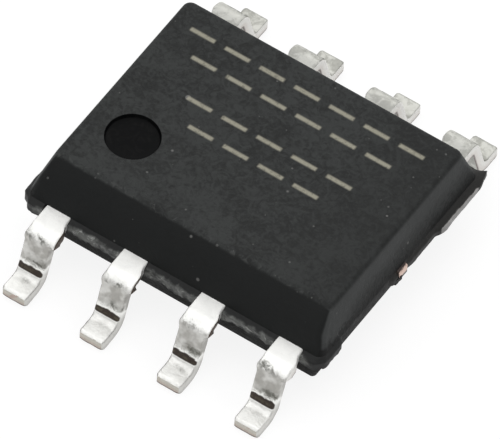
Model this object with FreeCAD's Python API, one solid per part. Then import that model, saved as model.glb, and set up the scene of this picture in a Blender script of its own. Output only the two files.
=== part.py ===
import FreeCAD, Part
import math
import os
from collections import namedtuple

from FreeCAD import Vector

# Eight-lead small-outline integrated circuit with gull-wing leads.
# Millimetres. The board that it is soldered to is the plane z = 0, the lead rows run along X,
# lead 1 is front left, leads 1 to 4 run along the front (-Y) and 5 to 8 back along the rear.

# Leads outside the body
LEADS_PER_ROW = 4
PITCH = 1.27
LEAD_WIDTH = 0.40
STRIP_THICKNESS = 0.18      # one sheet makes the leads, the die paddle and its tie bars
LEAD_SPAN = 6.00            # tip to tip across the rows
FOOT_RUN = 0.41             # tip back to where the middle lines of foot and leg cross
LEG_LEAN = 18.0             # degrees off the vertical
SHOULDER_INNER_RADIUS = 0.05
HEEL_INNER_RADIUS = 0.12
DAM_DISTANCE = 0.17         # body wall to the stubs that the cut dam bar leaves
DAM_STUB_PROUD = 0.05
DAM_STUB_TAIL = 0.01        # the stubs end this far below the upper bend

# Moulded body
END_MARGIN = 0.32           # body end to the side of the outermost lead
BODY_WIDTH = 3.90           # at the parting band, lead row to lead row
STANDOFF = 0.10             # underside above the board
LOWER_HEIGHT = 0.63         # underside to the lower face of the strip
UPPER_HEIGHT = 0.60         # upper face of the strip to the top face
UPPER_SIDE_DRAFT = 19.0     # degrees off the vertical, along the lead rows
UPPER_END_DRAFT = 15.0
LOWER_SIDE_DRAFT = 17.0
LOWER_END_DRAFT = 19.0
CORNER_RADIUS = 0.12
TOP_EDGE_RADIUS = 0.08
CHAMFER_DROP = 0.30         # bevel along the top edge of the lead 1 side
CHAMFER_SETBACK = 0.33
INDEX_DIAMETER = 0.78       # round recess that marks lead 1
INDEX_DEPTH = 0.06
INDEX_FROM_END = 0.715      # its centre, from the edges of the top face
INDEX_FROM_FRONT = 0.83
EJECTOR_DIAMETER = 0.90     # two shallow round marks on the underside
EJECTOR_DEPTH = 0.04
EJECTOR_SPACING = 2.30
FLASH_PROUD = 0.09          # ridge of resin between the leads, where the dam bar stopped it
FLASH_TOP_SLOPE = 0.07
FLASH_WRAP = 0.40           # how far the ridge goes round each corner
GATE_WIDTH = 0.90           # where the resin came in, broken off the right end
GATE_FROM_MIDDLE = 0.95
GATE_PROUD = 0.09

# Die paddle and its tie bars
PADDLE_LENGTH = 2.30
PADDLE_CORNER_RADIUS = 0.10
PADDLE_DOWNSET = 0.18
TIE_BAR_WIDTH = 0.20
TIE_BAR_LEVEL_RUN = 0.13    # from the paddle to the bend that lifts the bar
TIE_BAR_RISE = 45.0
TIE_BAR_INNER_RADIUS = 0.05
TIE_BAR_STUB = 0.03         # cut end, proud of the body
TIE_BAR_EDGE_RADIUS = 0.05

# Lead ends inside the body
STRIP_GAP = 0.22            # slots between paddle, tie bars and lead ends
NECK_LENGTH = 0.28          # straight stretch inside the wall
FLARE_LENGTH = 0.16
MIDDLE_PAD_WIDTH = 0.80
ANCHOR_SLOT_LENGTH = 0.30   # the resin goes through it and locks the lead
ANCHOR_SLOT_WIDTH = 0.12
BOND_LAND = 0.22            # plain metal between a middle lead's slot and its tip, for the wire

# Die, its attach layer and the bond wires
DIE_LENGTH = 1.40
DIE_WIDTH = 1.10
DIE_THICKNESS = 0.25
ATTACH_THICKNESS = 0.03
ATTACH_MARGIN = 0.06
WIRE_DIAMETER = 0.05
BALL_DIAMETER = 0.10
BALL_HEIGHT = 0.035
BOND_PAD_INSET = 0.12       # wire centre, in from the edge of the die
MIDDLE_BOND_PITCH = 0.52    # between the balls along a long side of the die
OUTER_BOND_Y = 0.24
NECK_HEIGHT = 0.14          # upright stretch above the die
LOOP_HEIGHT = 0.19          # wire's highest middle line above the die
LOOP_LEAN = 0.08            # neck to the highest point
STITCH_INSET = 0.11         # wire end, in from the edges of the lead's pad

# Levels and places that follow from the sizes above
BODY_LENGTH = (LEADS_PER_ROW - 1) * PITCH + LEAD_WIDTH + 2 * END_MARGIN
STRIP_LOW = STANDOFF + LOWER_HEIGHT
STRIP_TOP = STRIP_LOW + STRIP_THICKNESS
STRIP_MIDDLE = STRIP_LOW + STRIP_THICKNESS / 2
BODY_TOP = STRIP_TOP + UPPER_HEIGHT
WALL_Y = BODY_WIDTH / 2
END_X = BODY_LENGTH / 2
OUTER_LEAD_X = (LEADS_PER_ROW - 1) * PITCH / 2
SLOT_FROM_WALL = NECK_LENGTH + FLARE_LENGTH
PAD_REACH = SLOT_FROM_WALL + ANCHOR_SLOT_WIDTH + BOND_LAND
PADDLE_WIDTH = 2 * (WALL_Y - PAD_REACH - STRIP_GAP)
PADDLE_TOP = STRIP_TOP - PADDLE_DOWNSET
PADDLE_MIDDLE = PADDLE_TOP - STRIP_THICKNESS / 2
DIE_LOW = PADDLE_TOP + ATTACH_THICKNESS
DIE_TOP = DIE_LOW + DIE_THICKNESS
TALL = 2 * BODY_TOP         # height of a cutting prism that passes right through
SAME_PLACE = 1e-6           # two places nearer than this are the same

UP = Vector(0, 0, 1)
ORIGIN = Vector(0, 0, 0)

# A level outline of the body: half its length, its reach to the front and the rear, its corner radius
Section = namedtuple("Section", "z half_length front back corner")


def tangent(degrees):
    return math.tan(math.radians(degrees))


def prism(points, low, high):
    """An upright prism on an outline of (x, y) points."""
    corners = [Vector(x, y, low) for x, y in points]
    outline = Part.makePolygon(corners + corners[:1])
    return Part.Face(outline).extrude(UP * (high - low))


def disc(x, y, radius, low, high):
    """An upright cylinder between two levels."""
    return Part.makeCylinder(radius, high - low, Vector(x, y, low))


# Moulded body

def section_outline(section):
    """A rectangle with rounded corners, as a closed wire at the section's level."""
    x = section.half_length - section.corner
    front = section.corner - section.front
    back = section.back - section.corner
    centres = [(-x, front), (x, front), (x, back), (-x, back)]
    arcs = []
    for quarter, (cx, cy) in enumerate(centres):
        circle = Part.Circle(Vector(cx, cy, section.z), UP, section.corner)
        start = math.pi + quarter * math.pi / 2
        arcs.append(circle.toShape(start, start + math.pi / 2))
    edges = []
    for arc, following in zip(arcs, arcs[1:] + arcs[:1]):
        edges.append(arc)
        edges.append(Part.makeLine(arc.valueAt(arc.LastParameter),
                                   following.valueAt(following.FirstParameter)))
    return Part.Wire(edges)


def band_section(z, proud=0):
    """Outline of the straight band between the two halves, or of one that stands proud of it."""
    return Section(z, END_X + proud, WALL_Y + proud, WALL_Y + proud, CORNER_RADIUS + proud)


def drafted_section(z, height, end_draft, side_draft):
    """Outline of the body at a distance above or below the band, drawn in by the two drafts."""
    end = height * tangent(end_draft)
    side = height * tangent(side_draft)
    return Section(z, END_X - end, WALL_Y - side, WALL_Y - side, CORNER_RADIUS)


def upper_section(z):
    """Outline of the upper half at a level, without its bevel."""
    return drafted_section(z, z - STRIP_TOP, UPPER_END_DRAFT, UPPER_SIDE_DRAFT)


def top_section():
    """Outline of the top face, with the bevel along the front taken off."""
    front = upper_section(BODY_TOP - CHAMFER_DROP).front - CHAMFER_SETBACK
    return upper_section(BODY_TOP)._replace(front=front)


def ruled_solid(sections):
    """A solid whose outline runs straight from each section to the next."""
    return Part.makeLoft([section_outline(s) for s in sections], True, True)


def body_block():
    """The outer form: two drafted halves that meet at a band as high as the strip."""
    block = ruled_solid([
        drafted_section(STANDOFF, LOWER_HEIGHT, LOWER_END_DRAFT, LOWER_SIDE_DRAFT),
        band_section(STRIP_LOW),
        band_section(STRIP_TOP),
        upper_section(BODY_TOP - CHAMFER_DROP),
        top_section(),
    ])
    top_edges = [e for e in block.Edges if e.BoundBox.ZMin > BODY_TOP - SAME_PLACE]
    return block.makeFillet(TOP_EDGE_RADIUS, top_edges)


def index_recess():
    """The round recess near lead 1, in the top face."""
    top = top_section()
    x = INDEX_FROM_END - top.half_length
    y = INDEX_FROM_FRONT - top.front
    return disc(x, y, INDEX_DIAMETER / 2, BODY_TOP - INDEX_DEPTH, BODY_TOP + INDEX_DEPTH)


def ejector_marks():
    """The two shallow round marks that the ejector pins leave underneath."""
    return [disc(side * EJECTOR_SPACING / 2, 0, EJECTOR_DIAMETER / 2,
                 STANDOFF - EJECTOR_DEPTH, STANDOFF + EJECTOR_DEPTH) for side in (-1, 1)]


def dam_flash():
    """The resin ridge along both lead rows and round the corners. The leads cut it into lengths."""
    ridge = ruled_solid([
        band_section(STRIP_LOW, FLASH_PROUD),
        band_section(STRIP_TOP - FLASH_TOP_SLOPE, FLASH_PROUD),
        band_section(STRIP_TOP),
    ])
    x = END_X + 2 * FLASH_PROUD
    y = WALL_Y - FLASH_WRAP
    return ridge.cut(prism([(-x, -y), (x, -y), (x, y), (-x, y)], 0, TALL)).Solids


def gate_remnant():
    """The broken-off edge where the resin came in, on the rear half of the right end."""
    x0, x1 = 0, END_X + GATE_PROUD
    y0, y1 = GATE_FROM_MIDDLE, GATE_FROM_MIDDLE + GATE_WIDTH
    return prism([(x0, y0), (x1, y0), (x1, y1), (x0, y1)], STRIP_LOW, STRIP_TOP)


def moulded_body(held_pieces):
    """The moulding, cast round everything that it holds."""
    body = body_block().fuse(dam_flash() + [gate_remnant()])
    body = body.cut([index_recess()] + ejector_marks())
    return body.cut(held_pieces).removeSplitter()


# Strip parts: leads, paddle and tie bars

def side_points(points, bend_radii, offset):
    """One side of a bent strip, as a list of straight (start, end) and bend (start, middle, end) runs."""
    runs = []
    start = None
    for before, corner, after, bend_radius in zip(points, points[1:], points[2:], bend_radii):
        into = (corner - before).normalize()
        out = (after - corner).normalize()
        normal = Vector(0, -into.z, into.y)
        normal_out = Vector(0, -out.z, out.y)
        turn = math.atan2(normal.dot(out), into.dot(out))
        reach = bend_radius * math.tan(abs(turn) / 2)
        side = math.copysign(1, turn)
        centre = corner - into * reach + normal * (side * bend_radius)
        radius = bend_radius - side * offset
        to_middle = (corner - centre).normalize()
        bend_start = corner - into * reach + normal * offset
        bend_end = corner + out * reach + normal_out * offset
        runs.append((start or before + normal * offset, bend_start))
        runs.append((bend_start, centre + to_middle * radius, bend_end))
        start = bend_end
        last = after + normal_out * offset
    runs.append((start, last))
    return runs


def strip_section(points, inner_radii):
    """Section of the sheet bent along a middle line of (y, z) points, as a face at x = 0."""
    middle = [Vector(0, y, z) for y, z in points]
    bend_radii = [radius + STRIP_THICKNESS / 2 for radius in inner_radii]
    sides = [side_points(middle, bend_radii, s * STRIP_THICKNESS / 2) for s in (1, -1)]
    edges = []
    for runs in sides:
        for run in runs:
            curve = Part.Arc(*run) if len(run) == 3 else Part.LineSegment(*run)
            edges.append(curve.toShape())
    edges.append(Part.makeLine(sides[0][0][0], sides[1][0][0]))
    edges.append(Part.makeLine(sides[0][-1][-1], sides[1][-1][-1]))
    return Part.Face(Part.Wire(Part.__sortEdges__(edges)))


def bent_strip(points, inner_radii, half_width):
    """A strip of the sheet that runs along Y and bends in height, with an inner radius for each bend."""
    section = strip_section(points, inner_radii)
    section.translate(Vector(-half_width, 0, 0))
    return section.extrude(Vector(2 * half_width, 0, 0))


def lead_middle_line(inner_y):
    """The gull wing from its inner end: level shoulder, leaning leg and flat foot."""
    tip_y = LEAD_SPAN / 2
    foot_z = STRIP_THICKNESS / 2
    heel_y = tip_y - FOOT_RUN
    shoulder_y = heel_y - (STRIP_MIDDLE - foot_z) * tangent(LEG_LEAN)
    return [(inner_y, STRIP_MIDDLE), (shoulder_y, STRIP_MIDDLE), (heel_y, foot_z), (tip_y, foot_z)]


def dam_stubs():
    """The stretch with a cut stub of the dam bar on both sides: end of the shoulder and upper bend."""
    shoulder, heel = lead_middle_line(0)[1:3]
    leg_y, leg_z = heel[0] - shoulder[0], heel[1] - shoulder[1]
    bend_reach = (SHOULDER_INNER_RADIUS + STRIP_THICKNESS / 2) * tangent((90 - LEG_LEAN) / 2)
    share = (bend_reach + DAM_STUB_TAIL) / math.hypot(leg_y, leg_z)
    end = (shoulder[0] + share * leg_y, shoulder[1] + share * leg_z)
    start = (WALL_Y + DAM_DISTANCE, STRIP_MIDDLE)
    return bent_strip([start, shoulder, end], [SHOULDER_INNER_RADIUS], LEAD_WIDTH / 2 + DAM_STUB_PROUD)


def anchor_slot(x):
    """The slot across a lead where it is at its full width inside the body, centred on x."""
    y = WALL_Y - SLOT_FROM_WALL - ANCHOR_SLOT_WIDTH
    return Part.makeBox(ANCHOR_SLOT_LENGTH, ANCHOR_SLOT_WIDTH, 2 * TALL,
                        Vector(x - ANCHOR_SLOT_LENGTH / 2, y, -TALL))


def lead(x, pad):
    """A rear lead with its neck at x. pad is the plan of its inner end: low and high x, and its tip's y."""
    x0, x1, tip_y = pad
    flare_y, neck_y = WALL_Y - SLOT_FROM_WALL, WALL_Y - NECK_LENGTH
    left, right = x - LEAD_WIDTH / 2, x + LEAD_WIDTH / 2
    plan = [(x0, tip_y), (x1, tip_y), (x1, flare_y), (right, neck_y), (right, LEAD_SPAN / 2),
            (left, LEAD_SPAN / 2), (left, neck_y), (x0, flare_y)]
    half_width = max(abs(px) for px, _ in plan) + STRIP_THICKNESS
    inner_radii = [SHOULDER_INNER_RADIUS, HEEL_INNER_RADIUS]
    strip = bent_strip(lead_middle_line(tip_y), inner_radii, half_width)
    strip = strip.common(prism(plan, -TALL, TALL))
    stubs = dam_stubs()
    stubs.translate(Vector(x, 0, 0))
    return strip.fuse(stubs).cut(anchor_slot((x0 + x1) / 2)).removeSplitter().Solids[0]


def middle_pad(x):
    """Inner end of a middle lead: it stops short of the paddle's long side."""
    return x - MIDDLE_PAD_WIDTH / 2, x + MIDDLE_PAD_WIDTH / 2, WALL_Y - PAD_REACH


def outer_pad():
    """Inner end of an outer lead: it reaches past the paddle's corner to the tie bar."""
    neighbour = OUTER_LEAD_X - PITCH + MIDDLE_PAD_WIDTH / 2
    return (max(PADDLE_LENGTH / 2, neighbour) + STRIP_GAP, OUTER_LEAD_X + LEAD_WIDTH / 2,
            TIE_BAR_WIDTH / 2 + STRIP_GAP)


def tie_bar():
    """The bar that carries the paddle at the right end, up to its cut end outside the body."""
    edge = PADDLE_LENGTH / 2
    rise_start = edge + TIE_BAR_LEVEL_RUN
    rise_end = rise_start + PADDLE_DOWNSET / tangent(TIE_BAR_RISE)
    end = END_X + TIE_BAR_STUB
    points = [(edge - PADDLE_CORNER_RADIUS, PADDLE_MIDDLE), (rise_start, PADDLE_MIDDLE),
              (rise_end, STRIP_MIDDLE), (end, STRIP_MIDDLE)]
    bar = bent_strip(points, 2 * [TIE_BAR_INNER_RADIUS], TIE_BAR_WIDTH / 2)
    sheared = [e for e in bar.Edges if e.BoundBox.YMin > end - SAME_PLACE
               and e.BoundBox.ZMin > STRIP_TOP - SAME_PLACE]
    bar = bar.makeFillet(TIE_BAR_EDGE_RADIUS, sheared)
    bar.rotate(ORIGIN, UP, -90)
    return bar


def die_paddle():
    """The sunk plate that carries the die, with a tie bar to each end of the body."""
    plate = Part.makeBox(PADDLE_LENGTH, PADDLE_WIDTH, STRIP_THICKNESS,
                         Vector(-PADDLE_LENGTH / 2, -PADDLE_WIDTH / 2, PADDLE_TOP - STRIP_THICKNESS))
    upright = [e for e in plate.Edges if e.BoundBox.ZLength > STRIP_THICKNESS / 2]
    plate = plate.makeFillet(PADDLE_CORNER_RADIUS, upright)
    bar = tie_bar()
    return plate.fuse([bar, mirrored(bar, -1, 1)]).removeSplitter().Solids[0]


# Die and bond wires

def layer(length, width, low, thickness):
    """A flat rectangular layer centred on the paddle."""
    return Part.makeBox(length, width, thickness, Vector(-length / 2, -width / 2, low))


def beyond(point, normal):
    """Everything on the side of the plane through a point that its normal shows."""
    face = Part.Plane(point, normal).toShape(-BODY_LENGTH, BODY_LENGTH, -BODY_LENGTH, BODY_LENGTH)
    return face.makeHalfSpace(point + normal)


def round_wire(points):
    """Round wire along straight runs, mitred where they meet and cut level at both ends."""
    radius = WIRE_DIAMETER / 2
    along = [(b - a).normalize() for a, b in zip(points, points[1:])]
    cuts = [UP] + [(a + b).normalize() for a, b in zip(along, along[1:])] + [-UP]
    spare = BALL_DIAMETER * 4
    runs = []
    for k, direction in enumerate(along):
        length = points[k].distanceToPoint(points[k + 1]) + 2 * spare
        rod = Part.makeCylinder(radius, length, points[k] - direction * spare, direction)
        runs.append(rod.common(beyond(points[k], cuts[k])).common(beyond(points[k + 1], -cuts[k + 1])))
    return runs[0].fuse(runs[1:])


def bond_wire(start, end):
    """A wire from a point (x, y) on the die to one on a lead: ball, neck, loop and slanting run.

    It is drawn in the plane y = 0 with the ball at x = 0, then turned and moved to its place.
    """
    across, back = end[0] - start[0], end[1] - start[1]
    points = [Vector(0, 0, DIE_TOP), Vector(0, 0, DIE_TOP + NECK_HEIGHT),
              Vector(LOOP_LEAN, 0, DIE_TOP + LOOP_HEIGHT), Vector(math.hypot(across, back), 0, STRIP_TOP)]
    ball = disc(0, 0, BALL_DIAMETER / 2, DIE_TOP, DIE_TOP + BALL_HEIGHT)
    wire = ball.fuse(round_wire(points)).removeSplitter()
    wire.rotate(ORIGIN, UP, math.degrees(math.atan2(back, across)))
    wire.translate(Vector(start[0], start[1], 0))
    return wire.Solids[0]


def middle_wire(x):
    """The wire to a middle lead of the rear right quarter, with its neck at x."""
    tip_y = middle_pad(x)[2]
    start = (x / PITCH * MIDDLE_BOND_PITCH, DIE_WIDTH / 2 - BOND_PAD_INSET)
    return bond_wire(start, (x, tip_y + STITCH_INSET))


def outer_wire():
    """The wire to an outer lead of the rear right quarter."""
    x0, _, tip_y = outer_pad()
    start = (DIE_LENGTH / 2 - BOND_PAD_INSET, OUTER_BOND_Y)
    return bond_wire(start, (x0 + STITCH_INSET, tip_y + STITCH_INSET))


# The whole package

def mirrored(shape, x_side, y_side):
    """A rear right shape, carried over to the quarter that the two signs name."""
    if x_side < 0:
        shape = shape.mirror(ORIGIN, Vector(1, 0, 0))
    if y_side < 0:
        shape = shape.mirror(ORIGIN, Vector(0, 1, 0))
    return shape.copy()


def lead_places():
    """Lead number, distance of its neck from the middle, and its quarter as two signs."""
    places = []
    for number in range(1, 2 * LEADS_PER_ROW + 1):
        front = number <= LEADS_PER_ROW
        column = number - 1 if front else 2 * LEADS_PER_ROW - number
        x = column * PITCH - OUTER_LEAD_X
        places.append((number, abs(x), -1 if x < 0 else 1, -1 if front else 1))
    return places


def package():
    """Every piece by its name."""
    pieces = {}
    for number, x, x_side, y_side in lead_places():
        outermost = OUTER_LEAD_X - x < PITCH / 2
        shape = lead(x, outer_pad() if outermost else middle_pad(x))
        wire = outer_wire() if outermost else middle_wire(x)
        pieces[f"lead_{number}"] = mirrored(shape, x_side, y_side)
        pieces[f"bond_wire_{number}"] = mirrored(wire, x_side, y_side)
    pieces["die_paddle"] = die_paddle()
    pieces["die_attach"] = layer(DIE_LENGTH + 2 * ATTACH_MARGIN, DIE_WIDTH + 2 * ATTACH_MARGIN,
                                 PADDLE_TOP, ATTACH_THICKNESS)
    pieces["silicon_die"] = layer(DIE_LENGTH, DIE_WIDTH, DIE_LOW, DIE_THICKNESS)
    pieces["moulded_body"] = moulded_body(list(pieces.values()))
    return pieces


def main():
    os.makedirs("parts", exist_ok=True)
    for name, shape in package().items():
        shape.exportStep(f"parts/{name}.step")


main()
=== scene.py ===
import logging
import math
from collections.abc import Callable, Iterable, Sequence
from dataclasses import dataclass
from enum import Enum
from functools import partial, reduce
from typing import ClassVar, NamedTuple

import bmesh
import bpy
from bmesh.types import BMesh, BMEdge, BMFace, BMVert
from mathutils import Matrix, Vector, noise


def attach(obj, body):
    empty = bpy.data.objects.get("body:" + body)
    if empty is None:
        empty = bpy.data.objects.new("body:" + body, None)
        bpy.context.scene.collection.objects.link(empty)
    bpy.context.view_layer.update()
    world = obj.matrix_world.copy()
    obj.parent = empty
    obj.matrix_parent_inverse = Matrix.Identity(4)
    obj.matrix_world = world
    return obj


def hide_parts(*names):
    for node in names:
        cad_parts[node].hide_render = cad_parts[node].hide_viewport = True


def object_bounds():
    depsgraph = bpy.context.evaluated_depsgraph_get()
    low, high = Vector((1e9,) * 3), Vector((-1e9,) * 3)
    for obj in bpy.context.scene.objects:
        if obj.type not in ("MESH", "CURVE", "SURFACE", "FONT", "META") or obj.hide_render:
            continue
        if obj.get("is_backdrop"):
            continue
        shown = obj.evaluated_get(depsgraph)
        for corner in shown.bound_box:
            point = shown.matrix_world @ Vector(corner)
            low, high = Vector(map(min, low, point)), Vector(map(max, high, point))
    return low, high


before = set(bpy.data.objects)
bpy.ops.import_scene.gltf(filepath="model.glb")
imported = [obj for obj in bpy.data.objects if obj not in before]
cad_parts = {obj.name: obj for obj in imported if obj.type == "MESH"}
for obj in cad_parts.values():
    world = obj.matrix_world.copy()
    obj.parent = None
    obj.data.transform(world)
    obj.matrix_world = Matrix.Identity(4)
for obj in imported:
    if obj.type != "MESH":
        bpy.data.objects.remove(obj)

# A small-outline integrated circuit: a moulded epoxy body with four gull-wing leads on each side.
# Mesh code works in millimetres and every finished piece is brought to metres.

LOG = logging.getLogger("chip")
MM = 0.001
MERGE = 1e-4
SAME_PLACE = 1e-3
SHEET_LAYER = "sheet"
TONE_LAYER = "tone"
BOX_LOW, BOX_HIGH = (Vector(corner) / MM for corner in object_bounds())
BOX_MARGIN = 0.001
BODY_SHIFT = -0.02
END_SLOPE = math.tan(math.radians(15.0))

Colour = tuple[float, float, float]
Socket = bpy.types.NodeSocket
Source = Socket | float | Sequence[float]
Sockets = dict[str, Socket]
Feeds = dict[str | int, Source]


class Slot(Enum):
    """Material slots of the record."""

    RESIN = "mould_compound"
    TIN = "tin_plate"


# Meshes

def verts_of(geometry: Iterable) -> list[BMVert]:
    """The vertices among the results of an operator."""
    return [part for part in geometry if isinstance(part, BMVert)]


def faces_of(geometry: Iterable) -> list[BMFace]:
    """The faces among the results of an operator."""
    return [part for part in geometry if isinstance(part, BMFace)]


def is_level(part: BMEdge | BMFace, height: float) -> bool:
    """Whether an edge or a face lies wholly at one height."""
    return all(abs(vert.co.z - height) < SAME_PLACE for vert in part.verts)


def level_faces(bm: BMesh, height: float) -> list[BMFace]:
    """The faces that lie wholly at one height."""
    return [face for face in bm.faces if is_level(face, height)]


def level_edges(bm: BMesh, height: float) -> list[BMEdge]:
    """The edges that lie wholly at one height."""
    return [edge for edge in bm.edges if is_level(edge, height)]


def add_vert(bm: BMesh, place: Sequence[float]) -> BMVert:
    """Puts one vertex into a mesh."""
    return bmesh.ops.create_vert(bm, co=place)["vert"][0]


def round_off(bm: BMesh, parts: Sequence[BMEdge | BMVert], offset: float, segments: int,
              affect: str = "EDGES") -> None:
    """Rounds edges, or the corners of a flat face.

    Args:
        bm: The mesh that holds them.
        parts: The edges or vertices to round.
        offset: How far the rounding reaches, mm.
        segments: Number of facets in it.
        affect: Whether the parts are EDGES or VERTICES.
    """
    bmesh.ops.bevel(bm, geom=parts, offset=offset, offset_type="OFFSET", segments=segments,
                    profile=0.5, affect=affect, material=-1)


def roughen(bm: BMesh, verts: Iterable[BMVert], scale: float, depth: float, seed: float) -> None:
    """Moves vertices along their normals by smooth noise.

    Args:
        bm: The mesh that holds them.
        verts: The vertices to move.
        scale: Bumps in a millimetre.
        depth: The largest move, mm.
        seed: Shifts the noise, so that pieces differ.
    """
    bm.normal_update()
    shift = Vector((seed, -seed, 2 * seed))
    moves = [(vert, vert.normal * depth * noise.noise(vert.co * scale + shift)) for vert in verts]
    for vert, move in moves:
        vert.co += move


def held(value: float) -> float:
    """A value held between 0 and 1."""
    return min(max(value, 0.0), 1.0)


def ease(value: float) -> float:
    """A value held between 0 and 1 and eased at both ends."""
    return held(value) ** 2 * (3 - 2 * held(value))


def keep_inside(bm: BMesh) -> None:
    """Holds every vertex inside the box of the CAD model, with a margin at its sides.

    Args:
        bm: The mesh, in millimetres.
    """
    margin = Vector((BOX_MARGIN, BOX_MARGIN, 0.0))
    low, high = BOX_LOW + margin, BOX_HIGH - margin
    for vert in bm.verts:
        vert.co = [min(max(value, least), most) for value, least, most in zip(vert.co, low, high)]


def link_object(name: str, data: bpy.types.ID) -> bpy.types.Object:
    """Makes an object and links it to the scene.

    Args:
        name: Its name.
        data: Its mesh, lamp or camera.

    Returns:
        The object.
    """
    made = bpy.data.objects.new(name, data)
    bpy.context.collection.objects.link(made)
    return made


def make_object(bm: BMesh, name: str, materials: Sequence[bpy.types.Material],
                crease: float = 33.0) -> bpy.types.Object:
    """Turns a mesh in millimetres into a finished object in metres at the origin.

    Args:
        bm: The mesh, which is freed.
        name: Name of the object and its mesh.
        materials: Its materials, in the order of the faces' material numbers.
        crease: Edges that turn by more than this many degrees stay sharp.

    Returns:
        The object, linked to the scene.
    """
    bmesh.ops.remove_doubles(bm, verts=bm.verts, dist=MERGE)
    keep_inside(bm)
    bmesh.ops.recalc_face_normals(bm, faces=bm.faces)
    open_edges = sum(1 for edge in bm.edges if len(edge.link_faces) != 2)
    for face in bm.faces:
        face.smooth = True
    limit = math.radians(crease)
    for edge in bm.edges:
        edge.smooth = len(edge.link_faces) == 2 and edge.calc_face_angle(0.0) < limit
    bmesh.ops.scale(bm, vec=(MM, MM, MM), verts=bm.verts)
    mesh = bpy.data.meshes.new(name)
    bm.to_mesh(mesh)
    bm.free()
    for material in materials:
        mesh.materials.append(material)
    made = link_object(name, mesh)
    made.modifiers.new("even_shading", "WEIGHTED_NORMAL").keep_sharp = True
    LOG.info("%s: %d faces, %d open edges", name, len(mesh.polygons), open_edges)
    return made


@dataclass
class Sweep:
    """A bar drawn out step by step from one or more faces.

    Its vertices keep their place on the flat sheet in a layer: across, along and through, mm.
    """

    mesh: BMesh
    front: list[BMFace]
    heading: Vector
    along: float = 0.0
    started: bool = False

    def step(self, matrix: Matrix, run: float) -> list[BMVert]:
        """Extrudes the front faces and carries the new ones along.

        Args:
            matrix: How the new faces lie to the old ones.
            run: The length that this adds, mm.

        Returns:
            The vertices of the new faces.
        """
        grown = bmesh.ops.extrude_face_region(self.mesh, geom=self.front)["geom"]
        verts = verts_of(grown)
        bmesh.ops.transform(self.mesh, matrix=matrix, verts=verts)
        if self.started:
            bmesh.ops.delete(self.mesh, geom=self.front, context="FACES_ONLY")
        self.started = True
        self.front = faces_of(grown)
        self.along += run
        layer = self.mesh.verts.layers.float_vector[SHEET_LAYER]
        for vert in verts:
            across, _, through = vert[layer]
            vert[layer] = (across, self.along, through)
        return verts

    def straight(self, length: float, steps: int) -> None:
        """Draws the bar out straight ahead."""
        for _ in range(steps):
            self.step(Matrix.Translation(self.heading * length / steps), length / steps)

    def turn(self, centre: Vector, axis: Vector, angle: float, radius: float, steps: int) -> None:
        """Draws the bar round a bend.

        Args:
            centre: A point on the axis of the bend.
            axis: Direction of that axis.
            angle: How far the bar turns, in radians.
            radius: Radius of the middle of the sheet, mm.
            steps: Number of facets in the bend.
        """
        turn = Matrix.Rotation(angle / steps, 4, axis)
        matrix = Matrix.Translation(centre) @ turn @ Matrix.Translation(-centre)
        for _ in range(steps):
            self.step(matrix, radius * abs(angle) / steps)
        self.heading = Matrix.Rotation(angle, 3, axis) @ self.heading

    def widen(self, low: float, high: float, run: float) -> None:
        """Moves the two sides of the bar apart.

        Args:
            low: How far the side at negative x moves out, mm.
            high: The same for the side at positive x.
            run: The length over which it happens.
        """
        verts = self.step(Matrix.Translation(self.heading * run), run)
        layer = self.mesh.verts.layers.float_vector[SHEET_LAYER]
        for vert in verts:
            move = high if vert.co.x > 0 else -low
            vert.co.x += move
            across, along, through = vert[layer]
            vert[layer] = (across + move, along, through)


# Shader nodes

class Ramp(NamedTuple):
    """An eased step from start to end while a value goes from low to high."""

    low: float
    high: float
    start: float = 0.0
    end: float = 1.0


class Cloud(NamedTuple):
    """A soft noise: its bumps in a millimetre, octaves, roughness and twist."""

    scale: float
    detail: float = 3.0
    rough: float = 0.5
    twist: float = 0.0


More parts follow.
